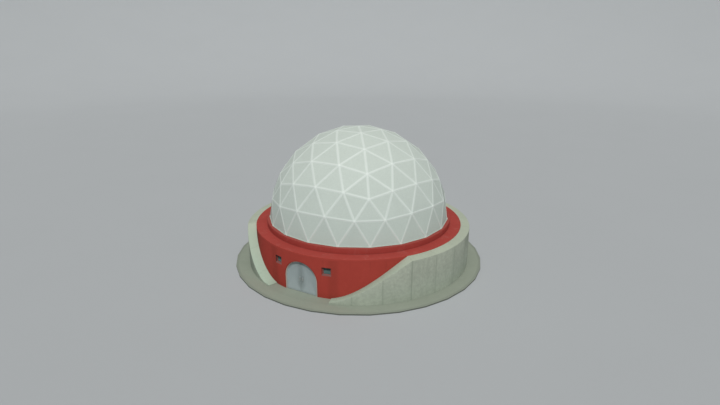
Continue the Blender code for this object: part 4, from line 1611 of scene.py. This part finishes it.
@dataclass
class RingWall:
    """The thick concrete wall round the drum, cast in bays, with its two sloping wings."""

    inner: float = DRUM_OUTER + GAP
    top: float = 3.48
    top_fall: float = 0.08
    wing_tip: float = 50.0 / 3.0
    wing_top: float = 160.0 / 3.0
    tip_height: float = FLOOR + 0.08
    sag: float = 0.68
    # Degrees by which the outer top edge of the left and of the right wing lags behind the inner
    edge_lag: Pair = (4.5, -1.35)
    groove_half: float = 0.010
    groove_depth: float = 0.010
    edge_round: float = 0.022
    spacing: float = 1.7
    bays: tuple[int, ...] = (3, 3, 3, 1, 3, 3, 3)

    def columns(self, start: float, end: float) -> np.ndarray:
        """Return angles between two ends, close together at each joint between bays.

        Args:
            start: the first end in degrees.
            end: the second end.

        Returns:
            The angles in order, a little short of both ends.
        """
        metre = math.degrees(1.0 / RING_OUTER)
        even = np.linspace(start, end, 2 + round((end - start) / self.spacing))
        joints = np.arange(math.ceil(start / BAY_ANGLE - TINY), end / BAY_ANGLE + TINY) * BAY_ANGLE
        offsets = np.array([-1.6, -1.0, 0.0, 1.0, 1.6]) * self.groove_half * metre
        close = (joints[:, None] + offsets[None]).reshape(-1)
        short = 0.0001 * metre
        angles = np.concatenate([even, close])
        return np.unique(np.round(np.clip(angles, start + short, end - short), 6))

    def groove(self, angles: np.ndarray) -> np.ndarray:
        """Cut the V-shaped joints: at a distance s from a joint the depth is d (1 - |s| / w).

        Args:
            angles: degrees from the door's axis.

        Returns:
            The depth at each angle.
        """
        turn = angles / BAY_ANGLE
        away = np.abs(turn - np.round(turn)) * math.radians(BAY_ANGLE) * RING_OUTER
        return self.groove_depth * np.clip(1.0 - away / self.groove_half, 0.0, 1.0)

    def section(
        self, angles: np.ndarray, inner_top: np.ndarray, outer_top: np.ndarray
    ) -> np.ndarray:
        """Carry the wall's profile along its length.

        The profile is a box whose outer and top sides sink by the joint's depth, with rounded
        top edges.

        Args:
            angles: degrees from the door's axis.
            inner_top: height of the inner top edge at each angle.
            outer_top: height of the outer top edge at each angle.

        Returns:
            The grid of points, a row for each profile point, closed by its first row.
        """
        sunk = self.groove(angles)
        face = RING_OUTER - sunk
        wide = np.full_like(sunk, self.inner)
        low = np.full_like(sunk, STANDING)
        crown_in, crown_out = inner_top - sunk, outer_top - sunk
        room = np.minimum(self.edge_round, (crown_out - low) * 0.4)
        slope = (crown_out - crown_in) / (RING_OUTER - self.inner)
        rows = [
            (wide, low),
            (face, low),
            (face, low + (crown_out - low) * 0.33),
            (face, low + (crown_out - low) * 0.66),
            (face, crown_out - room),
            (face - room * 0.12, crown_out - room * 0.45),
            (face - room * 0.45, crown_out - room * 0.12 - slope * room * 0.45),
            (face - room, crown_out - slope * room),
            (wide + (face - wide) * 0.5, (crown_in + crown_out) / 2.0),
            (wide + room, crown_in + slope * room),
            (wide + room * 0.3, crown_in - room * 0.3),
            (wide, crown_in - room),
            (wide, low),
        ]
        radius, height = np.array(rows).swapaxes(0, 1)
        return on_ring(radius, angles[None], height)

    def build_piece(
        self, name: str, angles: np.ndarray, inner_top: np.ndarray, outer_top: np.ndarray
    ) -> None:
        """Build one length of the wall and close its ends.

        Args:
            name: the solid that it stands for.
            angles: degrees from the door's axis.
            inner_top: height of the inner top edge at each angle.
            outer_top: height of the outer top edge at each angle.
        """
        grid = self.section(angles, inner_top, outer_top)
        crest = np.zeros(grid.shape[:2])
        crest[6:10] = 1.0
        Skin(name, CAST_CONCRETE).lay_length(grid, crest=crest).build(replaces=(name,), sharp=30.0)

    def wing_height(self, share: np.ndarray, full: float) -> np.ndarray:
        """Return a wing's height at a share s of its length: tip + rise (s - sag s (1 - s)^2)."""
        drop = self.sag * share * (1.0 - share) ** 2
        return self.tip_height + (full - self.tip_height) * (share - drop)

    def build_wing(self, side: Side) -> None:
        """Build one wing, whose outer top edge lags behind its inner one.

        Args:
            side: the wing's side of the door.
        """
        lag = self.edge_lag[0] if side is Side.LEFT else self.edge_lag[1]
        span = self.wing_top - self.wing_tip
        angles = self.columns(self.wing_tip, self.wing_top)
        share = (angles - self.wing_tip) / span
        late = np.clip(share - lag / span * (1.0 - share), 0.0, 1.0)
        inner_top = self.wing_height(share, self.top)
        outer_top = self.wing_height(late, self.top - self.top_fall)
        self.build_piece(f"ring_wing_{side.word}", angles * side.value, inner_top, outer_top)

    def build(self) -> None:
        """Build the level lengths and both wings."""
        start = self.wing_top
        for index, bays in enumerate(self.bays):
            end = start + bays * BAY_ANGLE
            angles = self.columns(start, end)
            level = np.full_like(angles, self.top)
            self.build_piece(f"ring_wall_{index + 1}", angles, level, level - self.top_fall)
            start = end
        for side in Side:
            self.build_wing(side)


@dataclass
class Plinth:
    """The 32-sided slab that everything stands on."""

    corner_radius: float = 11.19
    sides: int = 32
    arris: float = 0.004
    # Size of the rounded top edge, and the height below the top at which it bends
    edge: Pair = (0.016, 0.006)
    rows: tuple[float, ...] = (0.30, 1.0, 1.6, 2.4, 5.0)

    def outline(self, inset: float, height: float) -> np.ndarray:
        """Return the slab's edge moved inwards, with two points between its corners.

        Args:
            inset: how far each side lies inside the slab's edge.
            height: height above the ground.

        Returns:
            The closed outline.
        """
        reach = self.corner_radius - inset / math.cos(math.pi / self.sides)
        corners = on_ring(reach, np.arange(self.sides + 1) * 360.0 / self.sides, height)
        share = np.linspace(0.0, 1.0, 4)[:-1, None]
        between = corners[:-1, None] * (1.0 - share) + corners[1:, None] * share
        return np.vstack([between.reshape(-1, 3), corners[:1]])

    def build(self) -> None:
        """Carry the slab's profile round its sides, from the middle below to the middle on top."""
        flat = self.corner_radius * math.cos(math.pi / self.sides)
        arris, (edge, bend) = self.arris, self.edge
        profile = [(flat, 0.0), (arris, 0.0), (0.0, arris)]
        profile += [(0.0, FLOOR - edge), (arris, FLOOR - bend)]
        profile += [(inset, FLOOR) for inset in (edge, *self.rows, flat)]
        rings = np.stack([self.outline(inset, height) for inset, height in profile])
        Skin("plinth", PLINTH_CONCRETE).lay(rings).build(replaces=("plinth",), sharp=28.0)


@dataclass
class Entrance:
    """The arched door frame and the two leaves with their hinge straps and pull handles."""

    frame_width: float = 0.08
    frame_front: float = 9.07
    frame_step: float = 0.012
    leaf_radius: float = 1.47
    leaf_front: float = 9.014
    leaf_thickness: float = 0.06
    leaf_foot: float = 0.132
    leaf_edge: float = 0.003
    leaf_field: float = 0.125
    # Width and depth of the fold round the back
    leaf_fold: Pair = (0.048, 0.030)
    meeting: float = 0.005
    rib_middles: tuple[float, ...] = (0.62, 1.18, 1.74)
    rib_height: float = 0.08
    rib_end: float = 1.41
    hinge_x: float = 1.50
    hinge_y: float = -8.924
    hinge_feet: tuple[float, ...] = (0.4003, 1.0803)
    barrel_radius: float = 0.02
    barrel_height: float = 0.10
    barrel_edge: float = 0.002
    strap_length: float = 0.30
    strap_bolts: tuple[float, ...] = (0.26, 0.15)
    handle_x: float = 0.13
    handle_middle: float = 1.27
    # Width, height and thickness
    handle_plate: tuple[float, float, float] = (0.10, 0.34, 0.012)
    grip_radius: float = 0.012
    grip_half: float = 0.12
    grip_reach: float = 0.07
    grip_bend: float = 0.04

    @property
    def leaf_back(self) -> float:
        """Return where the back of the leaves lies along y."""
        return self.leaf_thickness - self.leaf_front

    def build_frame(self) -> None:
        """Carry the frame's stepped profile of (radius, distance) round the arch."""
        outer, inner = ARCH_RADIUS - GAP, ARCH_RADIUS - self.frame_width
        front, back, step = self.frame_front, DOOR_REBATE, self.frame_front - self.frame_step
        corners = np.array(
            [[outer, back], [outer, front], [inner + 0.022, front], [inner + 0.018, step]]
            + [[inner, step], [inner, back]]
        )
        profile = rounded(corners, 0.0025, 2)
        rings = [np.insert(arch(radius, 6, 56), 1, -away, axis=1) for radius, away in profile]
        skin = Skin("door_frame", DOOR_TRIM).lay_length(np.stack(rings))
        skin.build(replaces=("door_frame",), sharp=35.0)

    def leaf_path(self, inset: float) -> np.ndarray:
        """Return the (x, z) outline of the right leaf, moved inwards.

        It runs from the foot at the meeting line along the foot, up the hinge side, round the
        arch r (cos(t), sin(t)) to the crown and down the meeting line.

        Args:
            inset: how far it is moved inwards.

        Returns:
            The closed outline.
        """
        reach = self.leaf_radius - inset
        near, low = self.meeting + inset, self.leaf_foot + inset
        t = np.linspace(0.0, math.acos(near / reach), 29)
        base = np.linspace((near, low), (reach, low), 9)
        rise = np.linspace((reach, low), (reach, SPRINGING), 7)
        crown = np.stack([reach * np.cos(t), SPRINGING + reach * np.sin(t)], axis=1)
        fall = np.linspace((near, crown[-1, 1]), (near, low), 13)
        return np.vstack([base, rise[1:], crown[1:], fall[1:]])

    def leaf_skin(self, name: str) -> Skin:
        """Lay the right leaf: a pressed sheet with a folded edge, a shallow field and ribs.

        Args:
            name: the leaf's name.

        Returns:
            The skin.
        """
        front, back, edge = -self.leaf_front, self.leaf_back, self.leaf_edge
        fold, sheet = self.leaf_fold
        profile = np.array(
            [[self.leaf_field + 0.010, front + 0.004], [self.leaf_field, front], [edge, front]]
            + [[0.0, front + edge], [0.0, back - edge], [edge, back], [fold, back]]
            + [[fold + edge, back - edge], [fold + edge, back - sheet]]
        )
        skin = Skin(name, LEAF_PAINT).lay_plate(plate_rings(self.leaf_path, profile))
        depths = np.array(
            [[0.0, back - sheet - 0.001], [0.004, back - 0.006], [0.012, back - 0.003]]
        )
        for middle in self.rib_middles:
            rise = max(middle + 0.1 - SPRINGING, 0.0)
            reach = math.sqrt(self.rib_end**2 - rise**2)
            rib = plate_rings(rounded_rectangle(reach - 0.07, self.rib_height, 0.012), depths)
            skin.lay_plate(rib + [(reach + 0.06) / 2.0, 0.0, middle])
        return skin

    def strap_skin(self, name: str) -> Skin:
        """Lay the right leaf's straps, upper hinge barrels and bolts.

        Args:
            name: the straps' name.

        Returns:
            The skin.
        """
        back, radius, height = self.leaf_back, self.barrel_radius, self.barrel_height
        edge = self.barrel_edge
        plate = rounded_rectangle(self.strap_length, height, 0.02)
        depths = [[0.002, back - 0.026], [0.0, back - 0.020]]
        depths += [[0.0, back + 0.018], [0.004, back + 0.024]]
        rings = plate_rings(plate, np.array(depths))
        barrel = np.array(
            [[0.0, 0.0], [radius - edge, 0.0], [radius, edge], [radius, height - edge]]
            + [[radius - edge, height], [0.0, height]]
        )
        bolt = head(0.0, (0.013, 0.005), (0.009, 0.008))
        skin = Skin(name, HINGE_STEEL)
        for foot in self.hinge_feet:
            middle = foot + height / 2.0
            skin.lay_plate(rings + [self.hinge_x - self.strap_length / 2.0, 0.0, middle])
            skin.lay(domes(np.array([[self.hinge_x, self.hinge_y, foot]]), UP, barrel, 20))
            spots = [[self.hinge_x - away, back + 0.022, middle] for away in self.strap_bolts]
            skin.lay(domes(np.array(spots), INWARDS, bolt, 6))
        return skin

    def handle_skin(self, name: str) -> Skin:
        """Lay the right pull handle: a bevelled plate, a bent round grip and its two rosettes.

        Args:
            name: the handle's name.

        Returns:
            The skin.
        """
        width, height, thickness = self.handle_plate
        back = -self.leaf_front - GAP
        front = back - thickness
        place = [self.handle_x, 0.0, self.handle_middle]
        depths = np.array(
            [[0.0, back], [0.0, front + 0.004], [0.001, front + 0.001], [0.004, front]]
        )
        plate = plate_rings(rounded_rectangle(width, height, 0.014), depths)
        skin = Skin(name, HANDLE_STEEL).lay_plate(plate + place)
        out, half, steps = self.grip_reach, self.grip_half, 8
        corners = np.array([[0.006, -half], [-out, -half], [-out, half], [0.006, half]])
        bends = (0.0001, self.grip_bend, self.grip_bend, 0.0001)
        bend = rounded(corners, bends, steps)[steps : -1 - steps]
        path = np.insert(bend + [front, 0.0], 0, 0.0, axis=1) + place
        skin.lay_plate(tube(path, self.grip_radius))
        spots = np.array([[0.0, front, -half], [0.0, front, half]]) + place
        return skin.lay(domes(spots, -INWARDS, head(-0.002, (0.024, 0.004), (0.018, 0.010)), 20))

    def build(self) -> None:
        """Build the frame, both leaves, their straps and their handles."""
        self.build_frame()
        for side in Side:
            parts = ("leaf", "straps", "handle")
            leaf, straps, handle = (f"door_{part}_{side.word}" for part in parts)
            skins = [
                (self.leaf_skin(leaf), (leaf,), 30.0),
                (self.strap_skin(straps), (), 40.0),
                (self.handle_skin(handle), (handle,), 35.0),
            ]
            for skin, nodes, sharp in skins:
                if side is Side.LEFT:
                    skin.mirrored()
                skin.build(f"{side.word}_leaf", nodes, sharp)
        hinges = [f"door_hinge_{side.word}_{index}" for side in Side for index in (1, 2)]
        cover_nodes(HINGE_STEEL, *hinges)


@dataclass
class Window:
    """One window: a stepped frame, a gasket, the glass and a sloping sill in the recess."""

    side: Side
    width: float = WINDOW_WIDTH - 2.0 * GAP
    height: float = WINDOW_HEIGHT - 2.0 * GAP
    distance: float = 9.02
    depth: float = 0.08
    bar: float = 0.10
    # Where the frame's step starts and ends, from its inner edge
    step: Pair = (0.018, 0.012)
    glass_half: float = 0.010
    glass_edge: float = 0.002
    sill_rise: float = 0.085
    # Heights at which the sill's nose starts to round and at which its slope starts
    sill_nose: Pair = (0.008, 0.014)

    def placed(self, grid: np.ndarray) -> np.ndarray:
        """Move a grid from the window's own frame into the wall.

        Args:
            grid: points with x across, y outwards and z up, from the window's middle.

        Returns:
            The points in the building.
        """
        turn = math.radians(WINDOW_ANGLE * self.side.value)
        across = np.array([math.cos(turn), math.sin(turn), 0.0])
        out = np.array([math.sin(turn), -math.cos(turn), 0.0])
        moved = grid[..., :1] * across + (grid[..., 1:2] + self.distance) * out
        return moved + (grid[..., 2:] + WINDOW_MIDDLE) * UP

    def build_frame(self) -> None:
        """Carry a stepped (inset, depth) profile round the opening."""
        front, back, bar = self.depth / 2.0, -self.depth / 2.0, self.bar
        start, end = bar - self.step[0], bar - self.step[1]
        corners = np.array(
            [[0.0, back], [0.0, front], [start, front], [end, front - 0.016]]
            + [[bar, front - 0.018], [bar, back]]
        )
        path = rounded_rectangle(self.width, self.height, 0.003)
        rings = self.placed(plate_rings(path, rounded(corners, 0.002, 2)))
        name = f"window_frame_{self.side.word}"
        Skin(name, WINDOW_TRIM).lay(rings).build(replaces=(name,), sharp=35.0)

    def build_glass(self) -> None:
        """Build the pane and the gasket round it."""
        inside = 2.0 * self.bar + 0.001
        path = rounded_rectangle(self.width - inside, self.height - inside, 0.004)
        edge, half = self.glass_edge, self.glass_half
        profile = np.array([[edge, -half], [0.0, edge - half], [0.0, half - edge], [edge, half]])
        name = f"window_glass_{self.side.word}"
        pane = Skin(name, GLASS).lay_plate(self.placed(plate_rings(path, profile)))
        pane.build(replaces=(name,), sharp=35.0)
        bead = np.array([[0.0, 0.0105], [0.0, 0.018], [0.012, 0.0155], [0.014, 0.0105]])
        rings = self.placed(plate_rings(path, rounded(bead, 0.002, 2)))
        Skin(f"window_gasket_{self.side.word}", RUBBER).lay(rings).build(sharp=40.0)

    def build_sill(self) -> None:
        """Build the sill, a wedge whose top falls outwards and whose nose follows the wall."""
        across = np.linspace(-self.width / 2.0 + 0.001, self.width / 2.0 - 0.001, 13)
        back = np.full_like(across, self.depth / 2.0 + 0.0005)
        nose = np.sqrt(DRUM_OUTER**2 - across**2) - self.distance - 0.004
        low = -self.height / 2.0 + 0.0002
        face, top = low + self.sill_nose[0], low + self.sill_nose[1]
        section = [(back, low), (nose, low), (nose, face), (nose - 0.006, top)]
        section += [(back, low + self.sill_rise), (back, low)]
        rows = [
            np.stack([across, away, np.full_like(across, level)], axis=1) for away, level in section
        ]
        skin = Skin(f"window_sill_{self.side.word}", SILL_PAINT)
        skin.lay_length(self.placed(np.stack(rows))).build(sharp=35.0)

    def build(self) -> None:
        """Build the whole window."""
        self.build_frame()
        self.build_glass()
        self.build_sill()


# Studio


@dataclass
class Studio:
    """A pale floor that rises to a backdrop far away, soft light and the camera."""

    reach: float = 320.0
    flat_until: float = 130.0
    rise: float = 150.0
    # Height of the sun over the ground, and its angle from the door's axis
    sun_angles: Pair = (56.0, 30.5)
    sun_strength: float = 2.08
    sun_spread: float = 3.0
    sun_colour: Colour = (1.03, 1.02, 1.0)
    fill_strength: float = 0.60
    fill_spread: float = 60.0
    fill_colour: Colour = (1.06, 1.0, 0.96)
    sky: float = 0.070
    sky_colour: Colour = (0.84, 0.95, 1.0)
    camera_place: tuple[float, float, float] = (20.8929, -36.7036, 18.8676)
    camera_turn: tuple[float, float, float] = (71.7733, -0.0235, 29.4828)
    lens: float = 24.445

    def build_floor(self) -> None:
        """Build the floor: level near the object, then z = rise (1 - cos(s pi/2)) outwards."""
        distance = np.concatenate([[0.0], np.geomspace(6.0, self.flat_until, 14)])
        distance = np.concatenate([distance, np.linspace(self.flat_until, self.reach, 25)[1:]])
        share = np.clip((distance - self.flat_until) / (self.reach - self.flat_until), 0.0, 1.0)
        height = self.rise * (1.0 - np.cos(np.pi / 2.0 * share))
        grid = turned_profile(np.stack([distance, height], axis=1), np.linspace(360.0, 0.0, 97))
        floor = Skin("studio_floor", STUDIO_FLOOR).lay(grid).build(body="", closed=False)
        floor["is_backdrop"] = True

    def build_light(self) -> None:
        """Light the scene with an even sky, one sun by the camera and a broad top light."""
        world = bpy.data.worlds.new("sky")
        bpy.context.scene.world = world
        tree = Tree(world)
        sky = tree.node("Background", inputs={"Color": self.sky_colour, "Strength": self.sky})
        tree.node("OutputWorld", inputs={0: sky.outputs[0]})
        height, azimuth = self.sun_angles
        turn, down = (90.0 - height, 0.0, azimuth), (0.0, 0.0, 0.0)
        self.add_sun("key", self.sun_strength, self.sun_spread, turn, self.sun_colour)
        self.add_sun("fill", self.fill_strength, self.fill_spread, down, self.fill_colour)

    def add_sun(
        self, name: str, strength: float, spread: float, turn: tuple[float, ...], colour: Colour
    ) -> None:
        """Add one sun lamp.

        Args:
            name: its name.
            strength: its strength.
            spread: its angular size in degrees.
            turn: its turn about x, y and z in degrees, from shining straight down.
            colour: its colour.
        """
        light = bpy.data.lights.new(name, "SUN")
        light.energy = strength
        light.color = colour
        light.angle = math.radians(spread)
        lamp = bpy.data.objects.new(name, light)
        lamp.rotation_euler = Euler([math.radians(angle) for angle in turn])
        bpy.context.scene.collection.objects.link(lamp)

    def build_camera(self) -> None:
        """Set the camera at the photograph's viewing angle."""
        view = bpy.data.cameras.new("camera")
        view.lens = self.lens
        view.sensor_width = 36.0
        view.clip_end = 1000.0
        camera = bpy.data.objects.new("camera", view)
        camera.location = self.camera_place
        camera.rotation_euler = Euler([math.radians(angle) for angle in self.camera_turn])
        bpy.context.scene.collection.objects.link(camera)
        bpy.context.scene.camera = camera

    def build(self) -> None:
        """Build the studio."""
        self.build_floor()
        self.build_light()
        self.build_camera()
        bpy.context.scene.view_settings.view_transform = "Standard"


def write_size() -> None:
    """Put the CAD box and the visual model's box into plain lists."""
    boxes = {"cad": CAD_BOX, "visual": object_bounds()}
    plain = {name: [[float(x) for x in corner] for corner in box] for name, box in boxes.items()}


def main() -> None:
    """Build every sub-assembly in order, from the ground up, and then the studio."""
    logging.basicConfig(level=logging.INFO, format="%(name)s %(message)s")
    assemblies = [Plinth(), RingWall(), Drum(), FrontWall(), Entrance()]
    assemblies += [Window(side) for side in Side]
    assemblies += [GeodesicDome(), Studio()]
    for assembly in assemblies:
        REPORT.info("building %s", type(assembly).__name__)
        assembly.build()
    write_size()


if __name__ == "__main__":
    main()
